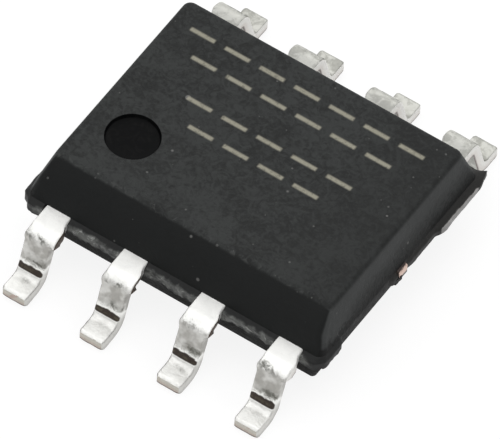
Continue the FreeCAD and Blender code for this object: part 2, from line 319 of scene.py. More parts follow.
@dataclass
class Wiring:
    """Adds nodes to one node tree and joins them up."""

    tree: bpy.types.NodeTree

    def node(self, kind: str, feeds: Feeds | None = None, **settings: object) -> bpy.types.Node:
        """Adds a node.

        Args:
            kind: Its type name.
            feeds: For each input, a socket to link or a value to set.
            settings: Other properties of the node.

        Returns:
            The new node.
        """
        made = self.tree.nodes.new(kind)
        for key, value in settings.items():
            setattr(made, key, value)
        self.feed_all(made, feeds or {})
        return made

    def feed(self, socket: Socket, source: Source) -> None:
        """Links a socket to a source, or sets its value.

        Args:
            socket: The input.
            source: A socket or a value.
        """
        if isinstance(source, Socket):
            self.tree.links.new(source, socket)
        else:
            socket.default_value = source

    def feed_all(self, node: bpy.types.Node, feeds: Feeds) -> None:
        """Links or sets several inputs of a node."""
        for key, source in feeds.items():
            self.feed(node.inputs[key], source)

    def maths(self, operation: str, *sources: Source, clamp: bool = False) -> Socket:
        """Works a number out from others.

        Args:
            operation: Blender's name for what is done.
            sources: The numbers.
            clamp: Whether the result is held between 0 and 1.

        Returns:
            The result.
        """
        made = self.node("ShaderNodeMath", dict(enumerate(sources)), operation=operation)
        made.use_clamp = clamp
        return made.outputs[0]

    def times(self, *sources: Source) -> Socket:
        """The product of some numbers."""
        return reduce(partial(self.maths, "MULTIPLY"), sources)

    def total(self, *sources: Source) -> Socket:
        """The sum of some numbers."""
        return reduce(partial(self.maths, "ADD"), sources)

    def most(self, *sources: Source) -> Socket:
        """The largest of some numbers."""
        return reduce(partial(self.maths, "MAXIMUM"), sources)

    def less(self, value: Source, other: Source) -> Socket:
        """A number less another."""
        return self.maths("SUBTRACT", value, other)

    def size(self, value: Source) -> Socket:
        """A number without its sign."""
        return self.maths("ABSOLUTE", value)

    def swing(self, cloud: Source, width: float) -> Socket:
        """A noise between 0 and 1 as one of a given width that swings about 0."""
        return self.times(self.less(cloud, 0.5), width)

    def weigh(self, outputs: Sockets, *weights: float) -> Socket:
        """The sum of an effect's outputs, each times its weight."""
        pairs = zip(outputs.values(), weights)
        return self.total(*(self.times(output, weight) for output, weight in pairs if weight))

    def span(self, value: Source, low: Source, high: Source, start: float = 0.0,
             end: float = 1.0) -> Socket:
        """A number eased from start to end while value goes from low to high."""
        feeds = {0: value, 1: low, 2: high, 3: start, 4: end}
        return self.node("ShaderNodeMapRange", feeds, interpolation_type="SMOOTHSTEP").outputs[0]

    def near(self, value: Source, place: float, reach: float) -> Socket:
        """1 where value is at a place, falling to 0 a reach away."""
        return self.span(self.size(self.less(value, place)), 0.0, reach, 1.0, 0.0)

    def blend(self, factor: Source, low: Source, high: Source) -> Socket:
        """Mixes two colours.

        Args:
            factor: How much of the second is in the mix.
            low: The first.
            high: The second.

        Returns:
            The mix.
        """
        low, high = (c if isinstance(c, Socket) else (*c, 1.0) for c in (low, high))
        made = self.node("ShaderNodeMix", {0: factor, 6: low, 7: high}, data_type="RGBA")
        return made.outputs[2]

    def clouds(self, where: Source, cloud: Cloud) -> Socket:
        """Soft noise between 0 and 1."""
        feeds = dict(zip(("Scale", "Detail", "Roughness", "Distortion"), cloud))
        return self.node("ShaderNodeTexNoise", {"Vector": where, **feeds}).outputs[0]

    def scaled(self, vector: Source, factor: Source) -> Socket:
        """A vector times a number."""
        feeds = {0: vector, "Scale": factor}
        return self.node("ShaderNodeVectorMath", feeds, operation="SCALE").outputs[0]

    def place(self) -> Socket:
        """The point on the object, in millimetres."""
        return self.scaled(self.node("ShaderNodeTexCoord").outputs["Object"], 1 / MM)

    def attribute(self, layer: str, output: str) -> Socket:
        """What a mesh carries in one of its layers."""
        return self.node("ShaderNodeAttribute", attribute_name=layer).outputs[output]

    def axes(self, vector: Source) -> tuple[Socket, ...]:
        """The three numbers of a vector."""
        return tuple(self.node("ShaderNodeSeparateXYZ", {0: vector}).outputs)

    def bump(self, height: Source, depth: float, strength: float = 1.0) -> Socket:
        """A normal that follows a height, whose depth is in millimetres."""
        feeds = {"Strength": strength, "Distance": depth * MM, "Height": height}
        return self.node("ShaderNodeBump", feeds).outputs[0]

    def group(self, effect: bpy.types.NodeTree, feeds: Feeds) -> Sockets:
        """Places a shared effect.

        Args:
            effect: Its node group.
            feeds: What feeds its inputs.

        Returns:
            Its outputs by name.
        """
        made = self.node("ShaderNodeGroup", node_tree=effect)
        self.feed_all(made, feeds)
        return {socket.name: socket for socket in made.outputs}

    def mask(self, effect: bpy.types.NodeTree, place: Source, size: float, share: float) -> Socket:
        """The mask of a shared effect that covers a share of the surface."""
        return self.group(effect, {"Place": place, "Size": size, "Share": share})["Mask"]


class Kind(Enum):
    """Kinds of socket on a shared effect."""

    NUMBER = "NodeSocketFloat"
    VECTOR = "NodeSocketVector"


def effect_group(name: str, inputs: dict[str, Kind], outputs: Sequence[str],
                 build: Callable[[Wiring, Sockets], Sequence[Source]]) -> bpy.types.NodeTree:
    """Makes an effect that several materials share.

    Args:
        name: Its name.
        inputs: Names and kinds of its inputs.
        outputs: Names of its outputs, all numbers.
        build: Makes the nodes and returns what feeds each output.

    Returns:
        The node group.
    """
    tree = bpy.data.node_groups.new(name, "ShaderNodeTree")
    for label, kind in inputs.items():
        tree.interface.new_socket(name=label, in_out="INPUT", socket_type=kind.value)
    for label in outputs:
        tree.interface.new_socket(name=label, in_out="OUTPUT", socket_type=Kind.NUMBER.value)
    wiring = Wiring(tree)
    entry = wiring.node("NodeGroupInput")
    leave = wiring.node("NodeGroupOutput")
    results = build(wiring, {socket.name: socket for socket in entry.outputs if socket.name})
    wiring.feed_all(leave, dict(zip(outputs, results)))
    return tree


@dataclass(frozen=True)
class LaserBars:
    """Rows of plain short bars, as a laser leaves them. Each row has its y, left end and count."""

    rows: tuple[tuple[float, float, int], ...] = (
        (1.33, -2.0565, 7), (0.93, -1.77, 6), (0.31, -1.4265, 5), (-0.09, -1.14, 4))
    pitch: float = 0.573
    length: float = 0.40
    thickness: float = 0.065
    blur: float = 0.018
    breaks: Cloud = Cloud(17.0, 3.0, 0.65)
    fading: Ramp = Ramp(0.22, 0.52, 0.45, 1.0)

    def across(self, w: Wiring, offset: Source, width: float) -> Socket:
        """1 within half a width of a middle line and 0 past a soft edge."""
        return w.span(w.size(offset), width / 2 - self.blur, width / 2 + self.blur, 1.0, 0.0)

    def row(self, w: Wiring, x: Source, y: Source, row: tuple[float, float, int]) -> Socket:
        """Draws one row.

        Args:
            w: Where the nodes go.
            x: Place along the body, mm.
            y: Place across the body, mm.
            row: Middle, left end and number of bars.

        Returns:
            1 on a bar and 0 off it.
        """
        middle, start, bars = row
        run = w.less(x, start)
        within = w.times(w.maths("GREATER_THAN", run, 0.0),
                         w.maths("LESS_THAN", run, bars * self.pitch - SAME_PLACE))
        offset = w.less(w.maths("MODULO", run, self.pitch), self.pitch / 2)
        return w.times(within, self.across(w, offset, self.length),
                       self.across(w, w.less(y, middle), self.thickness))

    def build(self, w: Wiring, given: Sockets) -> Sequence[Source]:
        """Draws every row, a little broken up.

        Args:
            w: Where the nodes go.
            given: The effect's inputs.

        Returns:
            What feeds its output.
        """
        x, y, _ = w.axes(given["Place"])
        bars = w.most(*(self.row(w, x, y, row) for row in self.rows))
        return (w.times(bars, w.span(w.clouds(given["Place"], self.breaks), *self.fading)),)


class Effects:
    """The surface effects that the finishes share, each built once."""

    GRAIN = (Cloud(1.1, 3.0, 0.55, 0.6), Cloud(6.5, 2.0, 0.6, 1.6), Cloud(17.0, 3.0, 0.65, 0.5))
    SPECK_SIZES = (0.08, 0.30)
    SPECK_EDGE = 0.09
    PATCH_CLOUD = Cloud(1.0, 5.0, 0.68, 0.7)
    PATCH_EDGE = 0.05

    def __init__(self) -> None:
        """Builds every effect."""
        place = {"Place": Kind.VECTOR}
        sized = {**place, "Size": Kind.NUMBER}
        shared = {**sized, "Share": Kind.NUMBER}
        self.grain = effect_group("fine_grain", sized, ("Cloud", "Swirl", "Grain"), self.build_grain)
        self.specks = effect_group("bright_specks", shared, ("Mask",), self.build_specks)
        self.scuffs = effect_group("scuffs", shared, ("Mask",), self.build_smears_and_glints)
        self.marks = effect_group("laser_bars", place, ("Mask",), LaserBars().build)

    def build_grain(self, w: Wiring, given: Sockets) -> Sequence[Source]:
        """Cloudy tone, fine swirls and a fine grain."""
        scaled = w.scaled(given["Place"], given["Size"])
        return [w.clouds(scaled, cloud) for cloud in self.GRAIN]

    def build_specks(self, w: Wiring, given: Sockets) -> Sequence[Source]:
        """Puts small round specks in a random share of the cells of a pattern.

        Args:
            w: Where the nodes go.
            given: The effect's inputs.

        Returns:
            What feeds its output.
        """
        feeds = {"Vector": given["Place"], "Scale": given["Size"], "Randomness": 1.0}
        cells = w.node("ShaderNodeTexVoronoi", feeds, feature="F1").outputs
        draw, more, _ = w.axes(cells["Color"])
        least, most = self.SPECK_SIZES
        radius = w.total(w.times(more, most - least), least)
        inside = w.span(w.less(radius, cells["Distance"]), 0.0, self.SPECK_EDGE)
        return (w.times(w.maths("LESS_THAN", draw, given["Share"]), inside),)

    def build_smears_and_glints(self, w: Wiring, given: Sockets) -> Sequence[Source]:
        """Puts ragged patches on a share of the surface.

        Args:
            w: Where the nodes go.
            given: The effect's inputs.

        Returns:
            What feeds its output.
        """
        value = w.clouds(w.scaled(given["Place"], given["Size"]), self.PATCH_CLOUD)
        edge = w.less(1.0, given["Share"])
        return (w.span(value, w.less(edge, self.PATCH_EDGE), w.total(edge, self.PATCH_EDGE)),)


# Finishes

@dataclass(frozen=True)
class Finish:
    """What all finishes share: a material with one Principled shader."""

    name: str

    def dress(self, w: Wiring, effects: Effects) -> Feeds:
        """Works out what feeds the shader.

        Args:
            w: Where the nodes go.
            effects: The shared effects.

        Returns:
            A source for each input that isn't left as it is.
        """
        raise NotImplementedError

    def material(self, effects: Effects) -> bpy.types.Material:
        """Builds the material.

        Args:
            effects: The shared effects.

        Returns:
            The material.
        """
        made = bpy.data.materials.new(self.name)
        made.use_nodes = True
        made.node_tree.nodes.clear()
        w = Wiring(made.node_tree)
        shader = w.node("ShaderNodeBsdfPrincipled")
        w.node("ShaderNodeOutputMaterial", {"Surface": shader.outputs[0]})
        w.feed_all(shader, self.dress(w, effects))
        return made


@dataclass(frozen=True)
class ResinFinish(Finish):
    """Black epoxy moulding compound with a fine mottled grain and bright specks."""

    deep: Colour = (0.0112, 0.0121, 0.0118)
    pale: Colour = (0.0345, 0.0368, 0.0362)
    speck: Colour = (0.16, 0.16, 0.155)
    rough: tuple[float, float] = (0.50, 0.75)
    sheen: float = 0.18
    tone_weights: tuple[float, ...] = (0.35, 0.40, 0.35)
    tone_ramp: Ramp = Ramp(0.42, 0.66)
    rough_range: tuple[float, float] = (0.35, 0.75)
    large_specks: tuple[float, float] = (6.0, 0.035)
    small_specks: tuple[float, float] = (14.0, 0.05)
    small_level: float = 0.6
    speck_level: float = 0.8
    height_weights: tuple[float, ...] = (0.0, 0.7, 0.6)
    grain_depth: float = 0.012

    def specks(self, w: Wiring, effects: Effects, place: Source, grain: Sockets) -> Socket:
        """Where bright specks lie.

        Args:
            w: Where the nodes go.
            effects: The shared effects.
            place: The point on the piece, mm.
            grain: The fine grain's outputs, not used here.

        Returns:
            1 on a speck and 0 off it.
        """
        large = w.mask(effects.specks, place, *self.large_specks)
        small = w.mask(effects.specks, place, *self.small_specks)
        return w.most(large, w.times(small, self.small_level))

    def shade(self, w: Wiring, place: Source, grain: Sockets, colour: Source) -> Source:
        """The colour, changed from place to place. Plain resin keeps it."""
        return colour

    def engrave(self, w: Wiring, effects: Effects, place: Source, colour: Source,
                height: Source) -> tuple[Source, Source]:
        """The colour and the height once marks are in them. Plain resin has none."""
        return colour, height

    def dress(self, w: Wiring, effects: Effects) -> Feeds:
        """Works out what feeds the shader.

        Args:
            w: Where the nodes go.
            effects: The shared effects.

        Returns:
            A source for each input that isn't left as it is.
        """
        place = w.place()
        grain = w.group(effects.grain, {"Place": place, "Size": 1.0})
        tone = w.weigh(grain, *self.tone_weights)
        colour = w.blend(w.span(tone, *self.tone_ramp), self.deep, self.pale)
        specks = self.specks(w, effects, place, grain)
        colour = self.shade(w, place, grain, colour)
        colour = w.blend(w.times(specks, self.speck_level), colour, self.speck)
        height = w.weigh(grain, *self.height_weights)
        colour, height = self.engrave(w, effects, place, colour, height)
        return {"Base Color": colour, "Roughness": w.span(tone, *self.rough_range, *self.rough),
                "Normal": w.bump(height, self.grain_depth), "Specular IOR Level": self.sheen}


@dataclass(frozen=True)
class BodyFinish(ResinFinish):
    """The resin of the upper half: marked on top, worn at its front edge, with painted light high on the
    end walls and painted shade on the front and low on the end walls.

    Heights and places are in mm, those called after an edge or a wall count from it.
    """

    mark: Colour = (0.33, 0.315, 0.25)
    mark_level: float = 0.85
    mark_depth: float = 0.5
    edge_reach: float = 0.06
    edge_specks: tuple[float, float] = (13.0, 0.30)
    edge_ragged: Ramp = Ramp(0.50, 0.66)
    edge_levels: tuple[float, float] = (0.22, 0.8)
    # Painted light on the upper part of the end walls.
    end_painted_light: Colour = (0.098, 0.102, 0.102)
    end_wall: Ramp = Ramp(-0.05, -0.015)
    end_ragged: float = 0.30
    end_foot: Ramp = Ramp(-1.55, -0.90, 0.22, 0.0)
    end_lift: Ramp = Ramp(1.00, 1.34)
    end_fade: Ramp = Ramp(1.42, 1.50, 1.0, 0.0)
    end_level: float = 0.80
    # Painted shade on the front bevel and wall.
    front_shade: Colour = (0.0058, 0.0065, 0.0065)
    front_wall: Ramp = Ramp(-0.05, -0.01, 1.0, 0.0)
    front_level: float = 0.85
    right_side: Ramp = Ramp(0.6, 2.2)
    right_level: float = 0.30
    # Painted shade low on the end walls, near the band.
    low_shade: Colour = (0.0035, 0.0035, 0.0035)
    low_reach: Ramp = Ramp(2.31, 2.37)
    low_height: Ramp = Ramp(0.96, 1.08, 1.0, 0.0)
    low_level: float = 0.85

    def specks(self, w: Wiring, effects: Effects, place: Source, grain: Sockets) -> Socket:
        """Where bright specks lie, more of them along the worn front edge.

        Args:
            w: Where the nodes go.
            effects: The shared effects.
            place: The point on the body, mm.
            grain: The fine grain's outputs.

        Returns:
            1 on a speck and 0 off it.
        """
        plain = super().specks(w, effects, place, grain)
        edge = w.near(w.axes(place)[1], MouldedBody.top.front, self.edge_reach)
        more = w.mask(effects.specks, place, *self.edge_specks)
        worn, level = self.edge_levels
        ragged = w.times(w.span(grain["Swirl"], *self.edge_ragged), worn)
        return w.most(plain, w.times(edge, w.most(ragged, more), level))

    def shade(self, w: Wiring, place: Source, grain: Sockets, colour: Source) -> Source:
        """Paints light on the upper part of the end walls, paints shade low on them and on the front,
        and darkens the resin towards the right end.

        Args:
            w: Where the nodes go.
            place: The point on the body, mm.
            grain: The fine grain's outputs.
            colour: The colour so far.

        Returns:
            The new colour.
        """
        x, y, z = w.axes(place)
        top = MouldedBody.top
        reach = w.size(w.less(x, BODY_SHIFT))
        slope = w.times(w.less(top.height, z), END_SLOPE)
        on_end = w.span(w.less(w.less(reach, top.half_length), slope), *self.end_wall)
        height = w.total(z, w.swing(grain["Swirl"], self.end_ragged))
        lift = w.span(w.total(height, w.span(y, *self.end_foot)), *self.end_lift)
        lift = w.times(on_end, lift, w.span(z, *self.end_fade), self.end_level)
        # Painted light on the upper part of the end walls.
        colour = w.blend(lift, colour, self.end_painted_light)
        # Painted shade on the front bevel and wall.
        front = w.times(w.span(w.less(y, top.front), *self.front_wall), w.less(1.0, on_end))
        colour = w.blend(w.times(front, self.front_level), colour, self.front_shade)
        colour = w.blend(w.times(w.span(x, *self.right_side), self.right_level), colour, self.deep)
        # Painted shade low on the end walls, near the band.
        low = w.times(w.span(reach, *self.low_reach), w.span(height, *self.low_height))
        return w.blend(w.times(low, self.low_level), colour, self.low_shade)

    def engrave(self, w: Wiring, effects: Effects, place: Source, colour: Source,
                height: Source) -> tuple[Source, Source]:
        """Puts the rows of bars on the body.

        Args:
            w: Where the nodes go.
            effects: The shared effects.
            place: The point on the body, mm.
            colour: The colour so far.
            height: The height so far.

        Returns:
            The new colour and height.
        """
        marks = w.group(effects.marks, {"Place": place})["Mask"]
        colour = w.blend(w.times(marks, self.mark_level), colour, self.mark)
        return colour, w.less(height, w.times(marks, self.mark_depth))


@dataclass(frozen=True)
class RecessFinish(Finish):
    """The polished floor of the index recess."""

    name: str = "resin_polished"
    colour: Colour = (0.0020, 0.0022, 0.0024)
    haze: Colour = (0.0055, 0.0055, 0.0055)
    haze_ramp: Ramp = Ramp(0.45, 0.75)
    rough: Ramp = Ramp(0.4, 0.7, 0.30, 0.45)
    grain_depth: float = 0.002

    def dress(self, w: Wiring, effects: Effects) -> Feeds:
        """Works out what feeds the shader.

        Args:
            w: Where the nodes go.
            effects: The shared effects.

        Returns:
            A source for each input that isn't left as it is.
        """
        grain = w.group(effects.grain, {"Place": w.place(), "Size": 1.0})
        return {"Base Color": w.blend(w.span(grain["Swirl"], *self.haze_ramp), self.colour, self.haze),
                "Roughness": w.span(grain["Swirl"], *self.rough), "Specular IOR Level": 0.05,
                "Normal": w.bump(grain["Grain"], self.grain_depth, 0.5)}


@dataclass(frozen=True)
class FlashFinish(Finish):
    """Resin squeezed out between the leads: rough, and glossy where it froze thin, with painted shade in
    the tone of the ridges and painted highlights as pale spots.
    """

    name: str = "resin_flash"
    deep: Colour = (0.008, 0.0085, 0.0085)
    pale: Colour = (0.135, 0.140, 0.132)
    # Colour of the pale spots, which are painted highlights.
    spot: Colour = (0.46, 0.47, 0.45)
    cloud: Cloud = Cloud(5.5, 3.0, 0.6, 0.3)
    cloud_width: float = 2.2
    pale_ramp: Ramp = Ramp(0.45, 1.25)
    spots: tuple[float, float] = (5.0, 0.42)
    spot_ramp: Ramp = Ramp(0.75, 1.15)
    spot_level: float = 0.75
    rough: Ramp = Ramp(0.4, 1.0, 0.60, 0.38)
    grain_size: float = 1.6
    grain_depth: float = 0.010

    def dress(self, w: Wiring, effects: Effects) -> Feeds:
        """Works out what feeds the shader.

        Args:
            w: Where the nodes go.
            effects: The shared effects.

        Returns:
            A source for each input that isn't left as it is.
        """
        place = w.place()
        grain = w.group(effects.grain, {"Place": place, "Size": self.grain_size})
        soft = w.clouds(place, self.cloud)
        # The tone from the mesh holds painted shade on the ridges and the pale broken edge of the gate
        # remnant.
        ragged = w.total(w.attribute(TONE_LAYER, "Fac"), w.swing(soft, self.cloud_width))
        colour = w.blend(w.span(ragged, *self.pale_ramp), self.deep, self.pale)
        # Pale spots: painted highlights on the ridge.
        spots = w.mask(effects.scuffs, place, *self.spots)
        spots = w.times(spots, w.span(ragged, *self.spot_ramp), self.spot_level)
        height = w.total(soft, w.times(grain["Grain"], 0.5))
        return {"Base Color": w.blend(spots, colour, self.spot), "Specular IOR Level": 0.35,
                "Roughness": w.span(ragged, *self.rough), "Normal": w.bump(height, self.grain_depth)}


@dataclass(frozen=True)
class OnSheet:
    """Where a shader stands on a lead, mm. The wavy places are blurred by the fine grain."""

    point: Socket
    across: Socket
    from_tip: Socket
    through: Socket
    from_leg: Socket
    wavy_leg: Socket
    wavy_bend: Socket
    swirl: Socket


@dataclass(frozen=True)
class TinFinish(Finish):
    """Matt tin plate over the lead, scuffed at the bends, with painted shade on the leg and along the
    lower edge of the tip, and dark residue with painted shade in the hollow of the heel.

    Places along the lead count from its tip, from the start of the leg or from the start of the
    bend above it, places across it from its middle and places through it from its lower face, mm.
    """

    name: str = "tin_matt"
    bright: Colour = (0.97, 0.97, 0.945)
    # Colour of the dull sheared sides, also laid over the leg as painted shade and lightly over the
    # foot.
    dull: Colour = (0.43, 0.42, 0.395)
    # Colour of scuffs and stains, and of the painted shade along the lower edge of the tip.
    scuff_and_shade: Colour = (0.12, 0.12, 0.10)
    # Dark residue with painted shade in the hollow of the heel.
    soot_and_shade: Colour = (0.030, 0.019, 0.014)
    olive: Colour = (0.085, 0.072, 0.048)
    wear: float = 0.50
    mottle: float = 0.06
    wave: float = 0.14
    grain_size: float = 1.3
    leg_start: Ramp = Ramp(0.12, 0.20)
    leg_end: Ramp = Ramp(0.0, 0.07, 1.0, 0.0)
    streaks: Cloud = Cloud(6.0, 2.0, 0.5)
    streak_ramp: Ramp = Ramp(0.30, 0.70, 0.55, 1.15)
    leg_left: Ramp = Ramp(-0.21, -0.12, 0.75, 1.0)
    side_across: Ramp = Ramp(0.180, 0.197)
    side_end: Ramp = Ramp(0.0, 0.15, 1.0, 0.0)
    side_through: Ramp = Ramp(0.02, 0.10, 0.75, 0.50)
    heel_dull: Ramp = Ramp(-0.05, 0.0, 0.22, 0.0)
    stains: Cloud = Cloud(5.0, 4.0, 0.65, 0.5)
    stain_ramp: Ramp = Ramp(0.44, 0.62)
    under_through: Ramp = Ramp(0.004, 0.034, 0.85, 0.0)
    under_end: Ramp = Ramp(0.012, 0.035, 1.0, 0.0)
    spots: Cloud = Cloud(9.0, 3.0, 0.55, 0.3)
    spot_range: tuple[float, float] = (0.58, 0.78)
    spot_wear: float = 0.3
    spot_least: float = 0.35
    bend_line: tuple[float, float] = (0.045, 0.055)
    bend_across: Ramp = Ramp(0.17, 0.10)
    leg_smudge: tuple[float, float] = (0.215, 0.11)
    leg_across: Ramp = Ramp(-0.12, 0.04)
    foot_smudge: tuple[float, float] = (-0.23, 0.085)
    foot_across: tuple[float, float] = (0.0, 0.15)
    foot_level: float = 0.6
    upper_face: Ramp = Ramp(0.10, 0.16)
    smudge_level: float = 0.85
    torn: Cloud = Cloud(9.0, 3.0, 0.55)
    torn_width: float = 0.09
    bow_place: float = 5.0
    bow_power: float = 10.0
    bow_depth: float = 0.035
    groove_start: Ramp = Ramp(-0.022, 0.002)
    groove_end: Ramp = Ramp(0.096, 0.124, 1.0, 0.0)
    groove_through: Ramp = Ramp(0.150, 0.172)
    groove_level: float = 0.97
    groove_middle: tuple[float, float] = (0.045, 0.045)
    groove_ragged: Ramp = Ramp(0.42, 0.62)
    rough: Ramp = Ramp(0.3, 0.9, 0.42, 0.66)
    rough_smudge: float = 0.3
    height_weights: tuple[float, ...] = (0.0, 0.8, 0.5)
    worn_depth: float = 0.5
    grain_depth: float = 0.0055
    wall_margins: tuple[float, float] = (0.10, 0.04)
    wall_least: float = 0.95

    def stand(self, w: Wiring, place: Source, swirl: Source) -> OnSheet:
        """Reads where the shader stands.

        Args:
            w: Where the nodes go.
            place: The point on the lead, mm.
            swirl: The fine grain's swirl.

        Returns:
            The places that the marks are laid out by.
        """
        across, along, through = w.axes(w.attribute(SHEET_LAYER, "Vector"))
        wavy = w.total(along, w.swing(swirl, self.wave))
        leg, bend = LeadPath.LEG_START, LeadPath.SHOULDER_START
        return OnSheet(place, across, along, through, w.less(along, leg), w.less(wavy, leg),
                       w.less(wavy, bend), swirl)

    def dullness(self, w: Wiring, on: OnSheet) -> Socket:
        """How dark the leg is painted as shade, broken into streaks, and how dull the sheared sides of
        the foot and heel are.

        Args:
            w: Where the nodes go.
            on: Where the shader stands.

        Returns:
            A share between 0 and 1.
        """
        # Painted shade over the leg, broken into streaks.
        leg = w.times(w.span(on.wavy_leg, *self.leg_start), w.span(on.wavy_bend, *self.leg_end))
        streaks = w.span(w.clouds(on.point, self.streaks), *self.streak_ramp)
        streaks = w.times(streaks, w.span(on.across, *self.leg_left))
        sides = w.times(w.span(w.size(on.across), *self.side_across),
                        w.span(on.from_leg, *self.side_end), w.span(on.through, *self.side_through))
        return w.most(w.maths("MULTIPLY", leg, streaks, clamp=True), sides)

    def smudges(self, w: Wiring, on: OnSheet) -> Socket:
        """Where the upper face is scuffed: at the bends, low on the leg and on the foot.

        Args:
            w: Where the nodes go.
            on: Where the shader stands.

        Returns:
            A share between 0 and 1.
        """
        low, high = (limit - self.spot_wear * self.wear for limit in self.spot_range)
        spots = w.span(w.clouds(on.point, self.spots), low, high)
        line = w.times(w.near(on.wavy_bend, *self.bend_line), w.span(on.across, *self.bend_across))
        leg = w.times(w.near(on.wavy_leg, *self.leg_smudge), w.span(on.across, *self.leg_across))
        foot = w.times(w.near(on.wavy_leg, *self.foot_smudge), w.near(on.across, *self.foot_across),
                       self.foot_level)
        spread = w.times(w.most(leg, foot), w.span(spots, 0.0, 1.0, self.spot_least, 1.0))
        return w.times(w.most(spread, w.times(line, spots)), w.span(on.through, *self.upper_face))

    def groove(self, w: Wiring, on: OnSheet) -> Socket:
        """Where dark residue and painted shade fill the hollow of the heel, torn above and bowed at both
        sides.

        Args:
            w: Where the nodes go.
            on: Where the shader stands.

        Returns:
            A share between 0 and 1.
        """
        ragged = w.swing(w.clouds(on.point, self.torn), self.torn_width)
        bow = w.maths("POWER", w.times(w.size(on.across), self.bow_place), self.bow_power)
        bow = w.times(bow, self.bow_depth)
        return w.times(w.span(w.less(on.from_leg, bow), *self.groove_start),
                       w.span(w.total(on.from_leg, ragged, bow), *self.groove_end),
                       w.span(on.through, *self.groove_through))

    def dress(self, w: Wiring, effects: Effects) -> Feeds:
        """Works out what feeds the shader.

        Args:
            w: Where the nodes go.
            effects: The shared effects.

        Returns:
            A source for each input that isn't left as it is.
        """
        place = w.place()
        grain = w.group(effects.grain, {"Place": place, "Size": self.grain_size})
        on = self.stand(w, place, grain["Swirl"])
        colour = w.blend(w.span(on.from_leg, *self.heel_dull), self.bright, self.dull)
        colour = w.blend(self.dullness(w, on), colour, self.dull)
        stains = w.span(w.clouds(place, self.stains), *self.stain_ramp)
        colour = w.blend(w.times(stains, self.mottle), colour, self.scuff_and_shade)
        # Painted shade along the lower edge of the tip.
        under = w.times(w.span(on.through, *self.under_through), w.span(on.from_tip, *self.under_end))
        colour = w.blend(under, colour, self.scuff_and_shade)
        smudge = self.smudges(w, on)
        colour = w.blend(w.times(smudge, self.smudge_level), colour, self.scuff_and_shade)
        groove = self.groove(w, on)
        middle = w.times(w.near(on.from_leg, *self.groove_middle), w.span(on.swirl, *self.groove_ragged))
        # Dark residue with painted shade in the hollow of the heel.
        colour = w.blend(w.times(groove, self.groove_level), colour,
                         w.blend(middle, self.soot_and_shade, self.olive))
        worn = w.total(on.swirl, w.times(smudge, self.rough_smudge))
        height = w.less(w.weigh(grain, *self.height_weights),
                        w.times(w.most(smudge, groove), self.worn_depth))
        before, past = self.wall_margins
        near_wall = w.span(on.from_tip, LeadPath.SHOULDER_START + before, LeadPath.SHOULDER_END + past,
                           0.0, self.wall_least)
        return {"Base Color": colour, "Metallic": w.less(1.0, near_wall),
                "Roughness": w.span(worn, *self.rough), "Normal": w.bump(height, self.grain_depth)}


@dataclass(frozen=True)
class ShearFinish(Finish):
    """A sheared face: smeared tin over part of it, bare alloy below and painted shade along its lower
    edge.
    """

    smear: Colour = (0.60, 0.58, 0.52)
    bare: Colour = (0.50, 0.38, 0.33)
    # Colour of the painted shade along the lower edge.
    shade: Colour = (0.12, 0.085, 0.080)
    share: float = 0.4
    patch_size: float = 6.0
    ragged: float = 0.06
    lower: Ramp = Ramp(0.09, 0.15, 1.0, 0.0)
    smear_levels: tuple[float, float] = (0.5, 0.8)
    rim: Ramp = Ramp(0.012, 0.046, 1.0, 0.0)
    rim_level: float = 0.85
    metallic: float = 0.75
    rough: Ramp = Ramp(0.3, 0.8, 0.42, 0.62)
    grain_size: float = 1.8
    grain_depth: float = 0.008

    def dress(self, w: Wiring, effects: Effects) -> Feeds:
        """Works out what feeds the shader.

        Args:
            w: Where the nodes go.
            effects: The shared effects.

        Returns:
            A source for each input that isn't left as it is.
        """
        place = w.place()
        through = w.axes(w.attribute(SHEET_LAYER, "Vector"))[2]
        grain = w.group(effects.grain, {"Place": place, "Size": self.grain_size})
        patches = w.mask(effects.scuffs, place, self.patch_size, self.share)
        lower = w.span(w.total(through, w.times(grain["Swirl"], self.ragged)), *self.lower)
        below, level = self.smear_levels
        cover = w.times(w.most(patches, w.times(lower, below)), level)
        # Painted shade along the lower edge of the face.
        rim = w.times(w.span(through, *self.rim), self.rim_level)
        return {"Base Color": w.blend(rim, w.blend(cover, self.smear, self.bare), self.shade),
                "Metallic": self.metallic, "Roughness": w.span(grain["Swirl"], *self.rough),
                "Normal": w.bump(w.weigh(grain, 0.0, 1.0, 1.0), self.grain_depth)}


@dataclass(frozen=True)
class MetalFinish(Finish):
    """A plain metal or filled resin of the parts inside, with a fine grain."""

    low: Colour
    high: Colour
    metallic: float
    rough: tuple[float, float]
    size: float = 2.0
    depth: float = 0.003
    grain_range: tuple[float, float] = (0.3, 0.7)

    def dress(self, w: Wiring, effects: Effects) -> Feeds:
        """Works out what feeds the shader.

        Args:
            w: Where the nodes go.
            effects: The shared effects.

        Returns:
            A source for each input that isn't left as it is.
        """
        grain = w.group(effects.grain, {"Place": w.place(), "Size": self.size})
        colour = w.blend(w.span(grain["Swirl"], *self.grain_range), self.low, self.high)
        return {"Base Color": colour, "Metallic": self.metallic,
                "Roughness": w.span(grain["Grain"], *self.grain_range, *self.rough),
                "Normal": w.bump(w.weigh(grain, 0.0, 1.0, 1.0), self.depth)}


